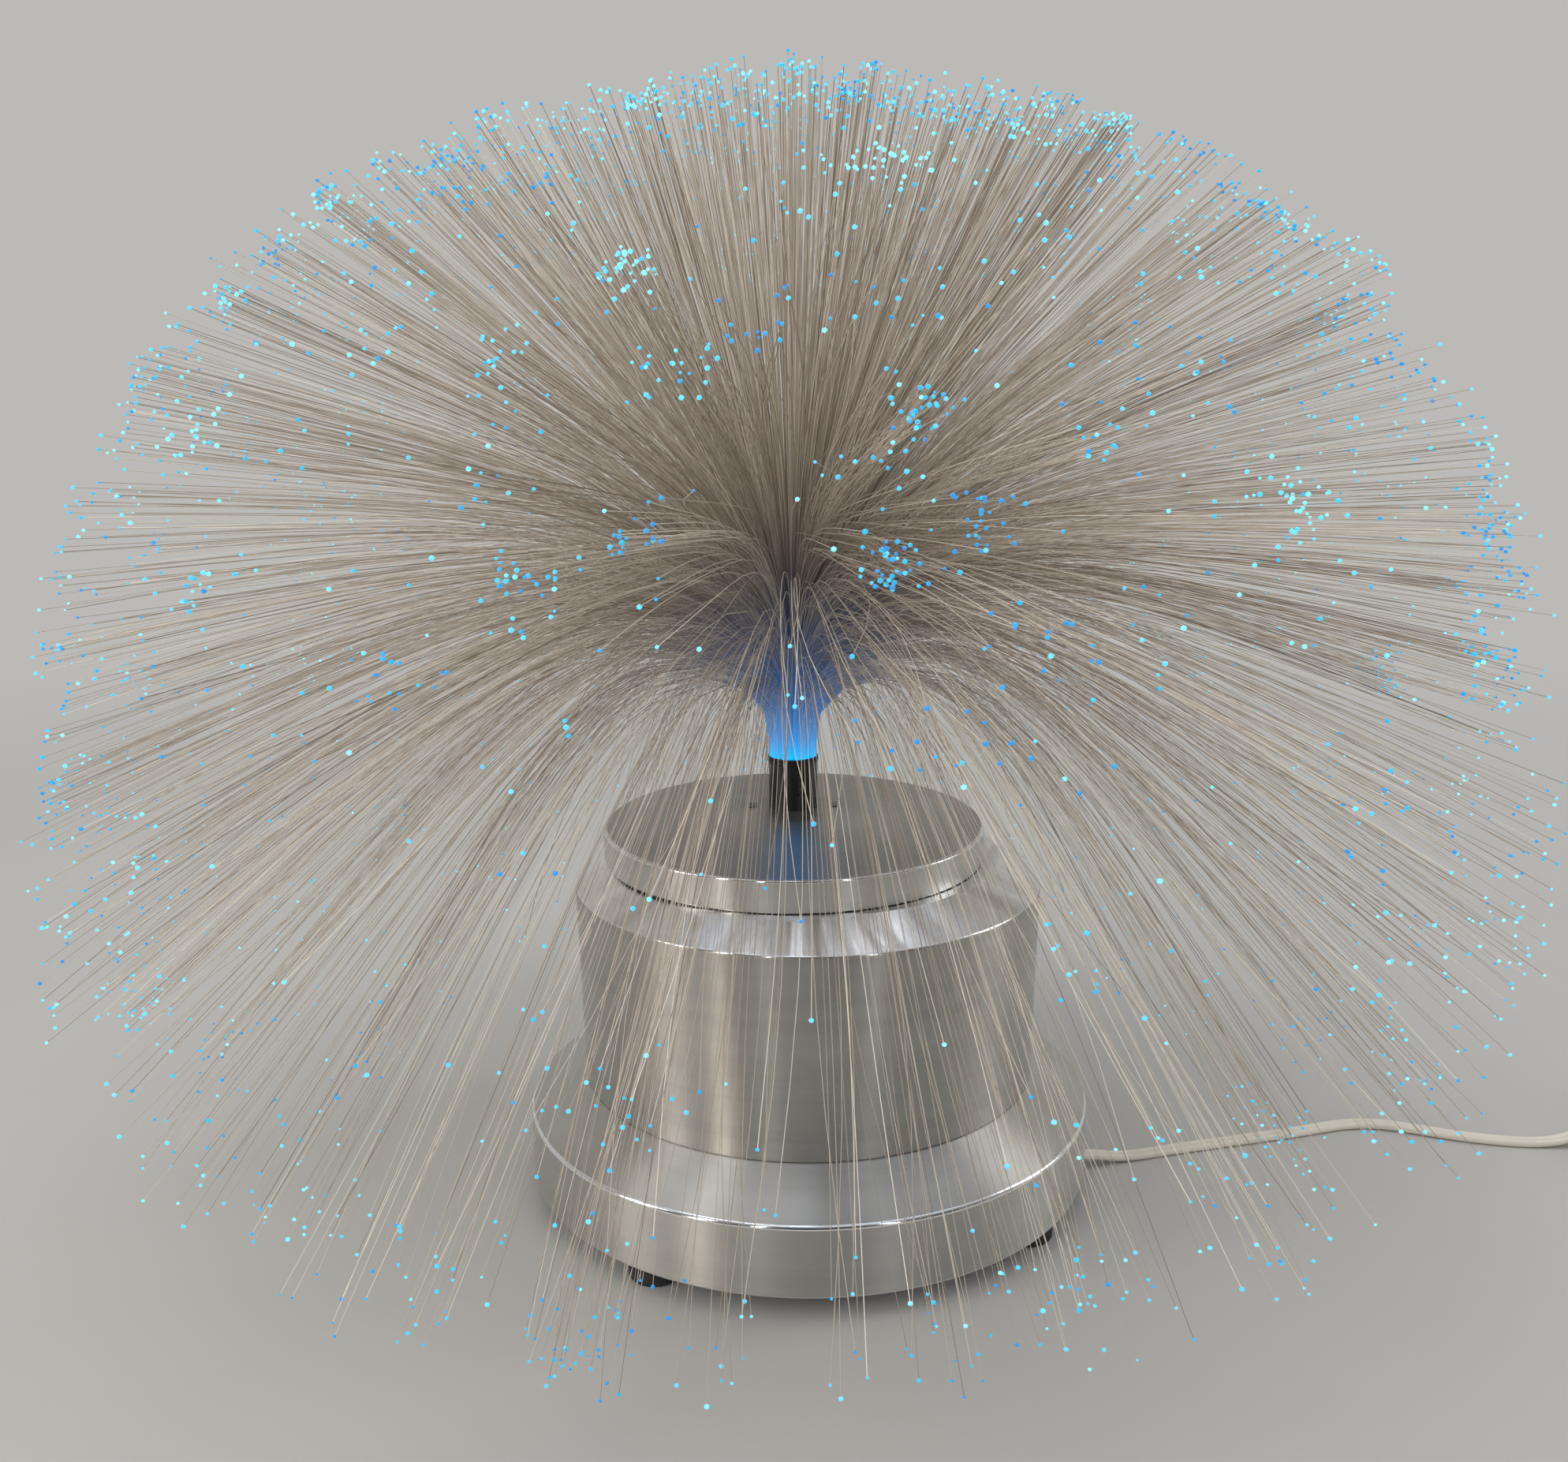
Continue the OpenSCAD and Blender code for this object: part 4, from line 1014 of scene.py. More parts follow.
@dataclass
class FibreSpray(Assembly):
    """The fibres, from the exit at the tube's top to their bright ends.

    Attributes:
        locks: the number of locks that the fibres gather in
        loose: the number of single fibres between them
        exit_z: the height of the exit
        exit_r: the radius of the packed fibres there
        thread_r: a fibre's radius
        tip_r: the radius of the smallest and the largest tip
        cap: how far the ends reach round the ball of directions; 2 is all round
        crowding: how much the ends crowd towards the top; 1 is not at all
        low_turn: the lean in degrees at the end of the lowest fibres
        hang: the lean in degrees from which fibres hang, and the span over which that grows
        upright: the share of a fibre that stands upright in the exit
        shortest: the length of the fibres in the middle
        longest: the length of the longest, which hang out at the sides
        growth: how the length grows from one to the other, by the share of the lean
        bunches: the lean, bearing and count of the thick locks that show in front
        thinned: of the fibres that hang in front: the least lean, the reach in degrees to each
            side, and the share that is kept
        keep_off: heights, and the radius round the base that fibres keep off at each
        lowest: the least height of a fibre over the floor
        points: the number of points along a fibre
        fine: the number of steps in which its bend is worked out
        seed: the seed of all draws
        draws: their generator
    """

    locks: int = 230
    loose: int = 2500
    exit_z: float = 165.6
    exit_r: float = 9.3
    thread_r: float = 0.12
    tip_r: Point2 = (0.45, 0.82)
    cap: float = 1.62
    crowding: float = 1.3
    low_turn: float = 150.0
    hang: Point2 = (95, 55)
    upright: float = 0.035
    shortest: float = 256.0
    longest: float = 338.0
    growth: Sequence[Point2] = ((0, 0), (0.13, -0.07), (0.27, 0.1), (0.4, 0.32), (0.53, 0.44),
                                (0.67, 0.6), (0.77, 0.8), (0.87, 1.0), (0.95, 0.88), (1, 0.63))
    bunches: Sequence[tuple[float, float, int]] = (
        (70, 267, 14), (75, 263, 22), (78, 277, 34), (85, 261, 22), (88, 255, 30), (84, 280, 26),
        (87, 275, 20), (80, 288, 16), (72, 250, 14), (92, 283, 16), (145, 250, 60), (145, 295, 26),
        (150, 285, 18), (140, 310, 18))
    thinned: Point3 = (100, 48, 0.6)
    keep_off: tuple[Sequence[float], Sequence[float]] = (
        (0, 35, 47, 124, 133, 147, 148), (113, 113, 94, 94, 82, 77, 0))
    lowest: float = 6.0
    points: int = 14
    fine: int = 90
    seed: int = 7
    draws: np.random.Generator = field(init=False)

    def __post_init__(self) -> None:
        """Seeds the draws."""
        self.draws = np.random.default_rng(self.seed)

    def lean_of(self, share: np.ndarray) -> np.ndarray:
        """Returns the end's lean in degrees for a share from 0, the top, to 1, the lowest."""
        whole = math.degrees(math.acos(1 - self.cap))
        return self.low_turn * np.degrees(np.arccos(1 - self.cap * share**self.crowding)) / whole

    def plan(self) -> dict[str, np.ndarray]:
        """Draws what differs from fibre to fibre.

        Returns:
            each fibre's lean and bearing in degrees, the millimetres added to its length, its
            tone, and the tone of its tip
        """
        draw, (start, span) = self.draws, self.hang
        lean, way, reach, tone, tip = [], [], [], [], []
        golden = 2.39996
        locks = [(float(self.lean_of(np.array((i + draw.uniform(0.1, 0.9)) / self.locks))),
                  math.degrees(golden * i) + draw.normal(0, 5), 3 + int(draw.gamma(2.0, 6.5)))
                 for i in range(self.locks)]
        for i, (middle, bearing, count) in enumerate((*locks, *self.bunches)):
            wide = draw.uniform(1.2, 3.6) if i < self.locks else draw.uniform(1.0, 1.9)
            low = max(0.0, middle - start) / span
            side = wide / max(math.sin(math.radians(min(middle, self.low_turn))), 0.3)
            lean.append(middle + draw.normal(0, 0.75 * wide, count))
            way.append(bearing + draw.normal(0, side, count))
            reach.append(draw.uniform(-7, 4) - low * draw.uniform(0, 30)
                         + draw.normal(0, 2 + 12 * low, count))
            tone.append(np.clip(draw.normal(0.45, 0.2) + draw.normal(0, 0.2, count), 0, 1))
            tip.append(np.clip(draw.normal(0.5, 0.3) + draw.normal(0, 0.2, count), 0, 1))
        n = self.loose
        lean.append(self.lean_of(draw.uniform(0, 1, n)))
        way.append(draw.uniform(0, 360, n))
        reach.append(draw.uniform(-10, 4, n)
                     - np.clip(lean[-1] / span - start / span, 0, 1) * draw.uniform(0, 45, n))
        tone.append(np.clip(draw.normal(0.5, 0.28, n), 0, 1))
        tip.append(draw.uniform(0, 1, n))
        plan = {"lean": np.clip(np.abs(np.concatenate(lean)), 0.5, self.low_turn),
                "way": np.concatenate(way) % 360, "reach": np.concatenate(reach),
                "tone": np.concatenate(tone), "tip": np.concatenate(tip)}
        least, aside, kept = self.thinned
        front = (plan["lean"] > least) & (np.abs(plan["way"] - 270) < aside)
        keep = ~front | (draw.random(len(front)) < kept)
        return {key: value[keep] for key, value in plan.items()}

    def lines(self, plan: dict[str, np.ndarray]) -> np.ndarray:
        """Bends every fibre over under its own weight.

        Args:
            plan: what plan() draws

        Returns:
            each fibre's points in millimetres
        """
        draw, fine = self.draws, self.fine
        lean, way = plan["lean"], np.radians(plan["way"])
        n = len(lean)
        part = lean / self.low_turn
        power = (3.0 + 2.5 * part**3.5) * draw.uniform(0.94, 1.06, n)
        share, rise = zip(*self.growth)
        length = (self.shortest + (self.longest - self.shortest) * np.interp(part, share, rise)
                  + np.minimum(plan["reach"], 5))
        u = (np.arange(fine) + 0.5) / fine
        late = np.clip((u[None, :] - self.upright) / (1 - self.upright), 0, 1)
        angle = np.radians(lean[:, None] * (1 - (1 - late) ** power[:, None]))
        step = (length / fine)[:, None]
        places = np.linspace(0, 1, self.points) ** 1.45
        columns = np.round(places * fine).astype(int)
        out, up = (np.concatenate([np.zeros((n, 1)), np.cumsum(part_of(angle) * step, axis=1)],
                                  axis=1)[:, columns] for part_of in (np.sin, np.cos))
        root = self.exit_r * np.clip(0.1 + 0.9 * part**0.5 + draw.normal(0, 0.07, n), 0.02, 1)
        drift = np.radians(draw.normal(0, 2.0, n))[:, None] * np.sin(math.pi * places)[None, :]
        bearing = way[:, None] + drift
        x = root[:, None] * np.cos(way)[:, None] + out * np.cos(bearing)
        y = root[:, None] * np.sin(way)[:, None] + out * np.sin(bearing)
        return np.stack([x, y, self.exit_z + up], axis=2)

    def clear_of_base(self, lines: np.ndarray) -> np.ndarray:
        """Returns which fibres stay clear of the base and above the floor."""
        x, y, z = (lines[:, :, i] for i in range(3))
        flat = np.hypot(x - BASE_AXIS[0], y - BASE_AXIS[1])
        return np.all((flat > np.interp(z, *self.keep_off)) & (z > self.lowest), axis=1)

    def stamped(self, name: str, bead: Piece, places: np.ndarray, sizes: np.ndarray) -> Piece:
        """Copies a bead to many places in one mesh.

        Args:
            name: the piece's name
            bead: the bead, at the origin
            places: the places in millimetres
            sizes: the size of each copy

        Returns:
            the piece
        """
        points = np.array([v.co for v in bead.data.vertices])
        faces = np.array([f.vertices for f in bead.data.polygons])
        co = (points[None] * sizes[:, None, None] + places[:, None] * MM).reshape(-1, 3)
        index = (faces[None] + (np.arange(len(places)) * len(points))[:, None, None]).reshape(-1, 3)
        mesh = bpy.data.meshes.new(name)
        mesh.from_pydata(co.tolist(), [], index.tolist())
        return placed(name, mesh)

    def bead(self) -> Piece:
        """Makes the small ball of light at a fibre's end, flattened a little.

        Returns:
            the ball, of 1 mm radius
        """
        deselect()
        bpy.ops.mesh.primitive_ico_sphere_add(subdivisions=1, radius=1.0 * MM, location=(0, 0, 0))
        bead = bpy.context.active_object
        with editing(bead):
            bpy.ops.transform.resize(value=(1.0, 1.0, 0.9), center_override=(0, 0, 0))
        return bead

    def mark(self, obj: Piece, key: str, values: np.ndarray) -> None:
        """Stores one number for each vertex of obj."""
        attribute = obj.data.attributes.new(key, "FLOAT", "POINT")
        attribute.data.foreach_set("value", values.astype(np.float32))

    def build(self) -> None:
        """Builds the fibres, an eighth of the round at a time, with their tips."""
        plan = self.plan()
        lines = self.lines(plan)
        keep = self.clear_of_base(lines)
        lines, plan = lines[keep], {key: value[keep] for key, value in plan.items()}
        LOG.info("fibres: %d of %d, reach %.1f, lowest %.1f, top %.1f", len(lines), len(keep),
                 np.hypot(lines[:, :, 0], lines[:, :, 1]).max(), lines[:, :, 2].min(),
                 lines[:, :, 2].max())
        bead = self.bead()
        eighth = (plan["way"] // 45).astype(int)
        for i in range(8):
            mine = np.flatnonzero(eighth == i)
            some = lines[mine]
            obj = threads(f"fibres_{i + 1}", some.tolist(), self.thread_r)
            per_line = len(obj.data.vertices) // len(mine)
            per_ring = per_line // some.shape[1]
            steps = np.linalg.norm(np.diff(some, axis=1), axis=2)
            along = np.concatenate([np.zeros((len(mine), 1)), np.cumsum(steps, axis=1)], axis=1)
            self.mark(obj, "along", np.repeat((along * MM).reshape(-1), per_ring))
            self.mark(obj, "tone", np.repeat(plan["tone"][mine], per_line))
            self.dress(obj, "fibre_sides", Body.SPRAY, f"spray_{i + 1}", slot="fibre_strands")
            sizes = self.draws.uniform(*self.tip_r, len(mine))
            ends = self.stamped(f"tips_{i + 1}", bead, some[:, -1], sizes)
            self.mark(ends, "tone", np.repeat(plan["tip"][mine], len(bead.data.vertices)))
            self.dress(ends, "fibre_tips", Body.SPRAY, slot="fibre_strands")
        bpy.data.objects.remove(bead, do_unlink=True)
        cap = turned("fused_ends", [(9.0, 165.0), (9.0, 166.2), (8.6, 166.8), (6.5, 167.3),
                                    (3.0, 167.5), (0, 167.5), (0, 165.0)], 64, 0.1)
        self.dress(cap, "fibre_core", Body.SPRAY, slot="fibre_clear")


# ---------------------------------------------------------------- base, lid and tube


@dataclass
class Shells(Assembly):
    """The two spun tiers of the base, the lid with its tube, and the feet.

    Attributes:
        drum_r: the drum's radius
        foot_r: the body's radius at its foot
        shoulder_r: the body's radius at its shoulder
        lid_r: the lid's radius
        sheet: the metal's thickness
        sides: the number of sides round a spun piece
        hole_r: the radius of the tube's hole in the lid
        slot_x: the distance from the tube's middle to a slot's
        slot: the size of the tool that cuts a slot
        feet_r: the distance from the base's axis to a foot's
    """

    drum_r: float = 110.0
    foot_r: float = 88.0
    shoulder_r: float = 89.7
    lid_r: float = 73.2
    sheet: float = 1.2
    sides: int = 256
    hole_r: float = 9.78
    slot_x: float = 16.3
    slot: Point3 = (3.4, 6.8, 8)
    feet_r: float = 98

    def banded(self, obj: Piece, finish: str, centre: Point2, least: float,
               *bands: Point2) -> None:
        """Gives bands round a spun piece their own finish, such as its polished edges, whose
        lighter colour is a painted highlight.

        Args:
            obj: the piece
            finish: the name of the bands' finish
            centre: the piece's axis in millimetres
            least: the radius beyond which the bands lie
            bands: the lowest and highest place of each band
        """
        obj.data.materials.append(self.finishes[finish])
        for face in obj.data.polygons:
            x, y, z = (value / MM for value in face.center)
            if math.hypot(x - centre[0], y - centre[1]) > least and any(
                    low < z < high for low, high in bands):
                face.material_index = len(obj.data.materials) - 1

    def drum(self) -> None:
        """Spins the lower drum: an upright side, a rounded rim, a sloping shelf and a flange."""
        r, f, t = self.drum_r, self.foot_r, self.sheet
        obj = turned("drum", [
            (r - 0.4, 8.2), (r, 8.9), (r, 33.9), (r - 0.25, 34.7), (r - 0.9, 35.45),
            (f + 0.6, 46.7), (f - 0.6, 47), (76, 47), (76, 45.8), (f - 0.4, 45.8),
            (r - 1.5, 34.2), (r - t, 33.5), (r - t, 16.4), (100.4, 16.4), (100.4, 15.2),
            (r - t, 15.2), (r - t, 8.4)],
            self.sides, 0.25, BASE_AXIS, SPUN_SHARP)
        self.dress(obj, "drum_metal", Body.BASE, "drum_shell")
        # The rims get the polished finish; its lighter colour is a painted highlight on real
        # polish.
        self.banded(obj, "bevel_metal", BASE_AXIS, r - 1.0, (33.9, 35.6), (8.0, 9.0))

    def body(self) -> None:
        """Spins the body: a satin side, a polished bevel with a painted highlight in its colour, a
        ledge and the collar for the lid.
        """
        s, t = self.shoulder_r, self.sheet
        obj = turned("body", [
            (76, 47), (87.6, 47), (88, 47.5), (s, 122.6), (s - 0.1, 123.4), (s - 0.55, 124.05),
            (74.3, 132.5), (73.6, 132.8), (67.4, 132.8), (66.6, 133.4), (66.6, 143.6), (66.3, 144),
            (65.5, 143.9), (65.4, 143.4), (65.4, 131.6), (73.4, 131.6), (s - t, 122.6),
            (86.8, 48.2), (76, 48.2)], self.sides, 0.2, BASE_AXIS, SPUN_SHARP)
        self.dress(obj, "body_metal", Body.BASE, "body_shell")
        # The bevel gets the polished finish; its lighter, bluer colour is a painted highlight on
        # real polish.
        self.banded(obj, "bevel_metal", BASE_AXIS, 70.0, (123.0, 132.9))

    def cover(self) -> None:
        """Spins the lid and cuts the tube's hole and the two slots beside it."""
        r, t, middle = self.lid_r, self.sheet, 144.6 * MM
        obj = turned("lid_cover", [
            (0, 145.2), (r - 1.3, 145.2), (r - 0.75, 145.1), (r - 0.25, 144.75), (r, 144.2),
            (r, 133.5), (r - 0.3, 133.1), (r - t + 0.2, 133.1), (r - t, 133.4), (r - t, 144.0),
            (0, 144.0)], self.sides, 0.12, LID_AXIS, SPUN_SHARP)
        deselect()
        bpy.ops.mesh.primitive_cylinder_add(vertices=96, radius=self.hole_r * MM, depth=8 * MM,
                                            location=(0, 0, middle))
        cut(obj, bpy.context.active_object)
        for side in (-1, 1):
            deselect()
            bpy.ops.mesh.primitive_cube_add(size=1, location=(side * self.slot_x * MM, 0, middle),
                                            scale=[c * MM for c in self.slot])
            cut(obj, bpy.context.active_object)
        smoothed(obj, SPUN_SHARP)
        self.dress(obj, "lid_metal", Body.LID, "lid_shell")
        self.banded(obj, "lid_side", LID_AXIS, 0.0, (130.0, 145.05))
        # The top edge gets the polished finish; its lighter colour is a painted highlight.
        self.banded(obj, "bevel_metal", LID_AXIS, r - 1.35, (144.3, 145.18))

    def tube(self) -> None:
        """Turns the black tube with its lip, and the collar of the fibre bundle in it."""
        stem = turned("tube", [
            (9.7, 121.5), (9.7, 163.2), (9.95, 163.6), (10.2, 164.2), (10.1, 164.65), (9.8, 164.8),
            (8.5, 164.8), (8.5, 121.5)], 96, 0.15)
        self.dress(stem, "stem_black", Body.LID, "stem_tube")
        collar = turned("bundle_collar", [
            (8.4, 119.5), (8.4, 164.8), (9.9, 164.8), (10.0, 165.1), (10.0, 165.7), (9.7, 166.0),
            (9.05, 166.0), (9.05, 165.2), (7.55, 164.6), (7.55, 119.5)], 96, 0.12)
        self.dress(collar, "ferrule_black", Body.SPRAY, "bundle_ferrule")

    def feet(self) -> None:
        """Turns the four rubber feet with a ribbed side."""
        names = ("foot_front_left", "foot_front_right", "foot_back_right", "foot_back_left")
        for i, name in enumerate(names):
            a = math.radians(-125 + 90 * i)
            place = (BASE_AXIS[0] + self.feet_r * math.cos(a),
                     BASE_AXIS[1] + self.feet_r * math.sin(a))
            foot = turned(f"{name}_rubber", [
                (4.6, 0.4), (5.2, 0), (8.2, 0), (9.1, 0.35), (9.5, 1.1), (9.6, 4.2), (9.35, 4.6),
                (9.35, 5.4), (9.65, 5.8), (9.9, 12.6), (9.4, 13.9), (3.0, 13.9), (2.2, 13.9),
                (2.2, 10), (4.6, 10)], 48, 0.2, place)
            self.dress(foot, "foot_rubber", Body.BASE, name)

    def build(self) -> None:
        """Builds the shells, the lid, the tube and the feet."""
        for step in (self.drum, self.body, self.cover, self.tube, self.feet):
            step()


# ---------------------------------------------------------------- inside of the base


@dataclass
class Inside(Assembly):
    """The bulb, the motor with its colour wheel, and the wiring in the base.

    Attributes:
        wire_r: a wire's radius
        boxy: the CAD nodes that only need their edges rounded: edge, finish and body of each
        painted: the finish of each CAD node that is taken as it is
    """

    wire_r: float = 1.1
    painted: dict[str, str] = field(default_factory=lambda: {
        "terminal_screws": "cap_brass", "fibre_bundle": "fibre_clear", "filter_red": "filter_red",
        "filter_amber": "filter_amber", "filter_green": "filter_green",
        "filter_blue": "filter_blue"})
    boxy: dict[str, tuple[float, str, Body]] = field(default_factory=lambda: {
        "base_plate": (0.25, "steel", Body.BASE),
        "holder_bracket": (0.4, "steel", Body.BASE),
        "motor_bracket": (0.4, "steel", Body.BASE),
        "motor_gearcase": (1.0, "case_plastic", Body.BASE),
        "terminal_block": (0.7, "case_plastic", Body.BASE),
        "cord_clamp": (0.5, "case_plastic", Body.BASE),
        "wheel_frame": (0.15, "case_plastic", Body.WHEEL),
        "stem_bracket": (0.3, "stem_black", Body.LID),
        "shell_screws": (0.2, "screw_steel", Body.BASE),
        "base_plate_screws": (0.2, "screw_steel", Body.BASE),
        "foot_screws": (0.2, "screw_steel", Body.BASE),
        "bracket_screws": (0.15, "screw_steel", Body.BASE),
        "clamp_screws": (0.12, "screw_steel", Body.BASE),
    })

    def bulb(self) -> None:
        """Blows the reflector bulb, mirrored at its back, and hangs the filament in it."""
        cap_z, neck, r = 44.0, 6.3, 19.5
        sweep = [(9.4 + (r - 9.4) * math.sin(math.radians(90 * i / 8)), 33 + 23 * i / 8)
                 for i in range(9)]
        dome = [(r * math.cos(a), 57 + 9 * math.sin(a))
                for a in (math.radians(90 * i / 9) for i in range(1, 10))]
        outer = [(neck, 24), (neck, 25), (8.6, 29), *sweep, *dome]
        inner = [(max(x - 0.8, 0), z - (0.8 if z > 57 else 0)) for x, z in reversed(outer)]
        obj = turned("bulb_glass_piece", [(x, z + cap_z) for x, z in outer + inner], 64, 0.0)
        self.dress(obj, "bulb_clear", Body.BASE, "bulb_glass")
        obj.data.materials.append(self.finishes["bulb_mirror"])
        for face in obj.data.polygons:
            if face.center.z / MM < cap_z + 52:
                face.material_index = 1
        coil = [(-5 + 10 * i / 120, 0.9 * math.cos(i * 0.9), cap_z + 48 + 0.9 * math.sin(i * 0.9))
                for i in range(121)]
        posts = [[(s * x, 0, cap_z + z) for x, z in ((1.2, 37), (2.6, 42), (4.6, 47.6))]
                 for s in (-1, 1)]
        filament = threads("filament_piece", [coil, *posts], 0.3, 1)
        stem = turned("filament_stem", [(x, z + cap_z) for x, z in (
            (4, 24), (3.4, 28), (1.9, 34), (1.8, 38), (0, 38.6), (0, 24))], 32, 0.2)
        self.dress(stem, "bulb_clear", Body.BASE)
        self.dress(filament, "filament", Body.BASE, "bulb_filament")

    def holder(self) -> None:
        """Turns the lamp holder with its rings and the bulb's ridged cap."""
        obj = turned("holder", [
            (7.1, 60), (7.1, 43.7), (0, 43.7), (0, 28), (12.4, 28), (13, 28.6), (13, 33),
            (12.6, 33.4), (12.6, 34.6), (13, 35), (13, 41), (12.6, 41.4), (12.6, 42.6),
            (13, 43), (13, 55.6), (14.3, 56.2), (14.5, 57), (14.5, 58.4), (14.1, 59),
            (13, 59.2), (13, 60)], 72, 0.25)
        self.dress(obj, "holder_plastic", Body.BASE, "lamp_holder")
        ridges = [(6.1 + 0.68 * math.sin(math.pi * (i % 4) / 3) if i % 4 else 6.1, 48 + 0.8 * i)
                  for i in range(22)]
        cap = turned("bulb_cap_piece", [(0, 44), (2.6, 44), (3.4, 45.2), (6.0, 46.6), *ridges,
                                        (6.3, 66.6), (6.3, 68), (0, 68)], 48, 0.1)
        self.dress(cap, "cap_brass", Body.BASE, "bulb_cap")

    def motor(self) -> None:
        """Presses the motor's can, and turns its shaft and the wheel's hub."""
        can = turned("motor_can_piece", [
            (0, 85), (19.6, 85), (20.6, 85.4), (21, 86.4), (21, 91), (20.7, 91.3), (20.7, 92.1),
            (21, 92.4), (21, 100.2), (20.9, 100.9), (0, 101)], 96, 0.2, (0, -60))
        self.dress(can, "steel", Body.BASE, "motor_can")
        low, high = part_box("motor_shaft")
        foot, top, r = low[2] / MM, high[2] / MM, (high[0] - low[0]) / 2 / MM
        shaft = turned("shaft_piece", [(0, foot), (r - 0.2, foot), (r, foot + 0.2), (r, top - 0.4),
                                       (r - 0.3, top), (0, top)], 32, 0.05, (0, -36))
        self.dress(shaft, "steel", Body.WHEEL, "motor_shaft")
        self.dress(refined("wheel_hub", 0.2), "case_plastic", Body.WHEEL, "wheel_hub")

    def wires(self) -> None:
        """Runs the wires between the block, the lamp holder and the motor, and the flat lead."""
        x0, y0, z0 = -19.6, -30.5, 19.2
        lamp = [
            [(x0, y0, z0), (x0 + 2, y0 + 0.2, z0 + 0.4), (x0 + 2.4, y0 + 2, z0 + 2.3),
             (x0 + 2, y0 + 6.5, z0 + 5.3), (x0 + 2, -12, z0 + 9.8), (x0 + 2, -4.5, 34),
             (x0 + 3.1, -3, 36), (-13.1, -3, 36)],
            [(x0, y0 + 10, z0), (x0 + 2.4, y0 + 10.1, z0 + 0.1), (x0 + 4.4, y0 + 11.5, z0 + 1.3),
             (x0 + 4.7, -12, z0 + 5.8), (x0 + 4.6, -4, z0 + 10.8), (x0 + 4, 1.5, 34.5),
             (x0 + 4.2, 3, 36), (-13.1, 3, 36)]]
        motor = []
        for i in (0, 1):
            y, side, end = y0 + 10 * i, -41.8 - 3 * i, -60 + 3 * i
            motor.append([(-37, y, z0), (-39.5, y, z0), (side, y - 2, z0 + 3),
                          (side, y - 6, z0 + 16), (side + 4, -48 + 3 * i, 59),
                          (-25 - 3 * i, end, 87), (-24, end, 92), (-21.3, end, 93)])
        for name, lines, finish in (("lamp_wires", lamp, "wire_brown"),
                                    ("motor_wires", motor, "wire_blue")):
            obj = threads(f"{name}_piece", [eased(line, 6) for line in lines], self.wire_r, 3)
            smoothed(obj, 50)
            self.dress(obj, finish, Body.BASE, name)
        lead = refined("inner_lead", 0.0)
        smoothed(lead, 70)
        self.dress(lead, "cord_plastic", Body.BASE, "inner_lead")

    def build(self) -> None:
        """Builds all that is inside the base."""
        for node, (edge, finish, body) in self.boxy.items():
            self.dress(refined(node, edge), finish, body, node)
        for step in (self.bulb, self.holder, self.motor, self.wires):
            step()
        for node, finish in self.painted.items():
            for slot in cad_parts[node].material_slots:
                slot.material = self.finishes[finish]


# ---------------------------------------------------------------- fittings on the cord


@dataclass
class Fittings(Assembly):
    """The gland, the switch, the tie round the coil and the plug.

    Attributes:
        gland: the gland's place
        gland_turn: its direction in degrees
        ribs: the number of rings round it
        fitted: the CAD nodes on the cord, with the edge, finish and body of each
    """

    gland: Point3 = (84.0, -34.7, 5.6)
    gland_turn: float = 15.0
    ribs: int = 5
    fitted: Sequence[tuple[str, float, str, Body]] = (
        ("switch_base", 1.2, "switch_plastic", Body.BASE),
        ("switch_cover", 1.4, "switch_plastic", Body.BASE),
        ("switch_screws", 0.12, "screw_steel", Body.BASE),
        ("switch_rocker", 0.6, "switch_plastic", Body.ROCKER),
        ("cord_tie", 0.4, "tie", Body.BASE),
        ("plug_body", 1.8, "switch_plastic", Body.BASE),
        ("plug_pins", 0.3, "pin_metal", Body.BASE))

    def strain_relief(self) -> Piece:
        """Moulds the tapered strain relief with its rings, and lays it along the cord's exit.

        Returns:
            the piece
        """
        ribs = []
        for i in range(self.ribs):
            z, r = 6.5 + 3.3 * i, 4.95 - 0.22 * i
            ribs += [(r, z), (r, z + 1.9), (r - 0.75, z + 2.2), (r - 0.8, z + 3.0)]
        obj = turned("gland_piece", [(0, -3.2), (5.0, -3.2), (5.4, -2.8), (5.4, -0.85),
                                     (3.55, -0.85), (3.55, 0.85), (5.4, 0.85), (5.4, 2.6),
                                     (5.1, 3.2), (4.2, 6.0), *ribs, (3.7, 23.6), (3.4, 24.0),
                                     (0, 24.0)], 48, 0.15)
        obj.rotation_euler = (0, math.radians(90), math.radians(self.gland_turn))
        settle(obj, self.gland)
        return self.dress(obj, "cord_plastic", Body.BASE, "cord_gland")

    def build(self) -> list[Piece]:
        """Builds the fittings.

        Returns:
            the pieces that lie on the cord
        """
        return [self.strain_relief(), *[self.dress(refined(node, edge), finish, body, node)
                                        for node, edge, finish, body in self.fitted]]


# ---------------------------------------------------------------- the whole lamp


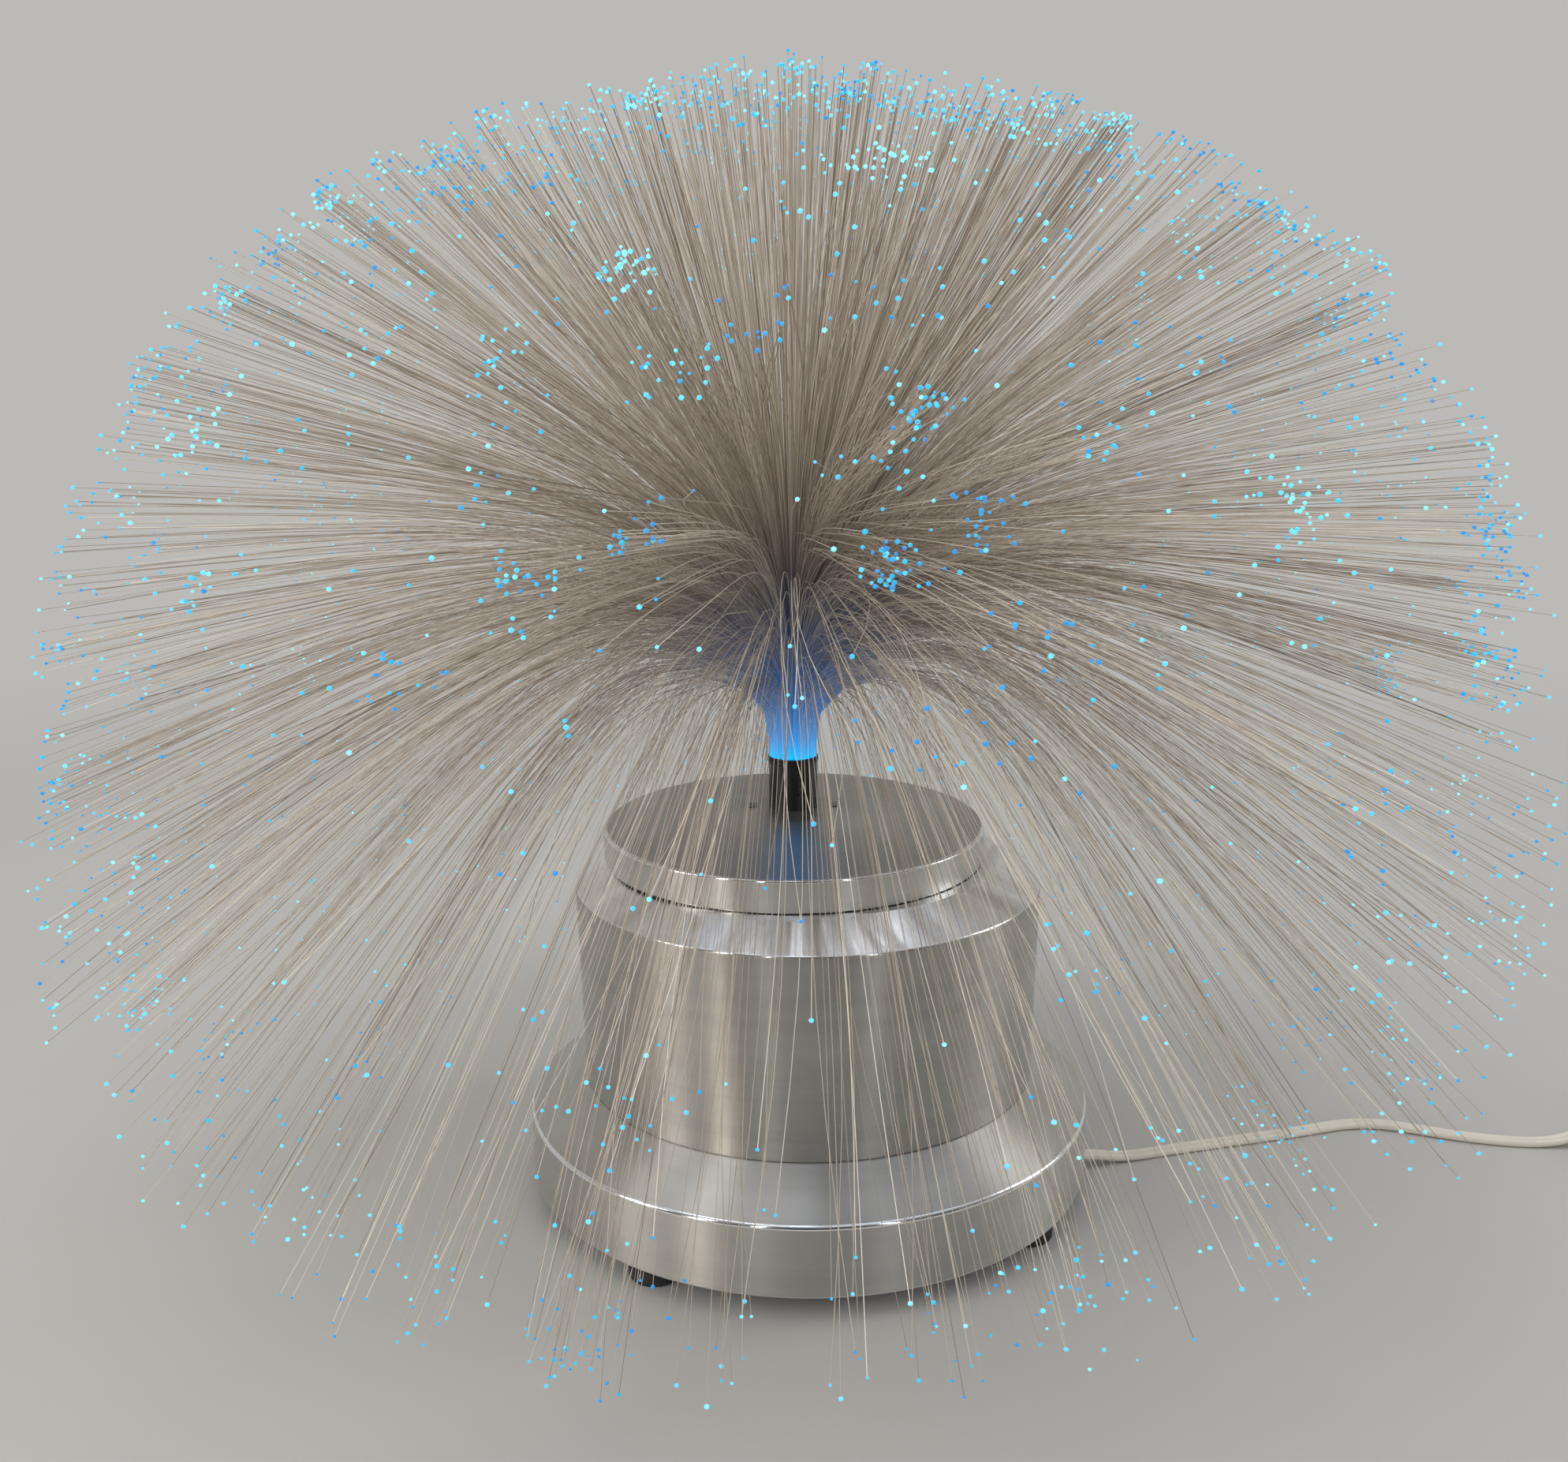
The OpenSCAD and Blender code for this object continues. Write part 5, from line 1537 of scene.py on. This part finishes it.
def finish_book() -> dict[str, Material]:
    """Builds every finish of the lamp.

    Returns:
        the materials by finish
    """
    book = [
        SpunMetal("drum_metal", (0.60, 0.585, 0.56), 0.34, 0.92, 0.12, BASE_AXIS),
        SpunMetal("body_metal", (0.52, 0.505, 0.48), 0.33, 0.95, 0.1, BASE_AXIS),
        # Polished bands: the low roughness is real polish; the light bluish colour is a painted
        # highlight.
        SpunMetal("bevel_metal", (0.93, 0.94, 0.96), 0.12, 0.5, 0.05, BASE_AXIS),
        SpunMetal("lid_metal", (0.48, 0.47, 0.455), 0.34, 0.5, 0.08, LID_AXIS),
        SpunMetal("lid_side", (0.62, 0.61, 0.595), 0.30, 0.9, 0.08, LID_AXIS),
        Plain("steel", (0.60, 0.61, 0.63), 0.34, Grain.CAST, 1.0),
        Plain("screw_steel", (0.40, 0.41, 0.43), 0.36, Grain.SMOOTH, 1.0),
        Plain("foot_rubber", (0.022, 0.022, 0.024), 0.62, Grain.RUBBER, variation=0.2),
        Plain("holder_plastic", (0.80, 0.77, 0.70), 0.42, Grain.MOULDED),
        Plain("cap_brass", (0.80, 0.60, 0.28), 0.28, Grain.SMOOTH, 1.0),
        Plain("bulb_mirror", (0.88, 0.88, 0.87), 0.10, Grain.SMOOTH, 1.0),
        Plain("filament", (0.50, 0.46, 0.42), 0.4, Grain.SMOOTH, 1.0),
        Plain("case_plastic", (0.82, 0.82, 0.80), 0.38, Grain.MOULDED),
        Plain("wire_brown", (0.22, 0.09, 0.035), 0.35, Grain.SMOOTH, coat=0.2),
        Plain("wire_blue", (0.05, 0.15, 0.50), 0.35, Grain.SMOOTH, coat=0.2),
        Plain("cord_plastic", (0.76, 0.71, 0.62), 0.40, Grain.SMOOTH, coat=0.1),
        Plain("tie", (0.05, 0.05, 0.055), 0.5, Grain.MOULDED),
        Plain("switch_plastic", (0.80, 0.76, 0.68), 0.33, Grain.SATIN, coat=0.15),
        Plain("pin_metal", (0.78, 0.76, 0.70), 0.22, Grain.SMOOTH, 1.0),
        Plain("stem_black", (0.012, 0.012, 0.013), 0.28, Grain.SATIN, coat=0.3, variation=0.2),
        Plain("ferrule_black", (0.014, 0.014, 0.016), 0.42, Grain.MOULDED, variation=0.2),
        Clear("bulb_clear", (0.97, 0.985, 0.99), 0.01),
        Clear("fibre_clear", (0.35, 0.70, 1.0), 0.15, glow=0.25),
        Clear("filter_red", (0.90, 0.05, 0.06), 0.08, 1.3),
        Clear("filter_amber", (0.98, 0.50, 0.04), 0.08, 1.3),
        Clear("filter_green", (0.06, 0.75, 0.20), 0.08, 1.3),
        Clear("filter_blue", (0.03, 0.33, 0.95), 0.08, 1.3),
        FibreFinish("fibre_sides", (0.26, 0.20, 0.15), (0.95, 0.87, 0.76),
                    ((0.0, 0.45, 1.0), (0.0, 0.17, 0.60)), (8.0, 18.0), 1.35),
        TipFinish("fibre_tips", (0.01, 0.34, 0.88), (0.02, 0.56, 0.90), (0.24, 0.86, 0.98), 1.08),
        TipFinish("fibre_core", (0.0, 0.34, 1.0), (0.0, 0.38, 1.0), (0.0, 0.42, 1.0), 1.0),
    ]
    return {finish.name: finish.material() for finish in book}


def main() -> None:
    """Builds the lamp from the camera and cord to the last fibre."""
    logging.basicConfig(level=logging.INFO, format="%(name)s %(message)s")
    Studio().build()
    finishes = finish_book()
    Cord(finishes).build(Fittings(finishes).build())
    for assembly in (Shells, Inside, FibreSpray):
        assembly(finishes).build()


if __name__ == "__main__":
    main()
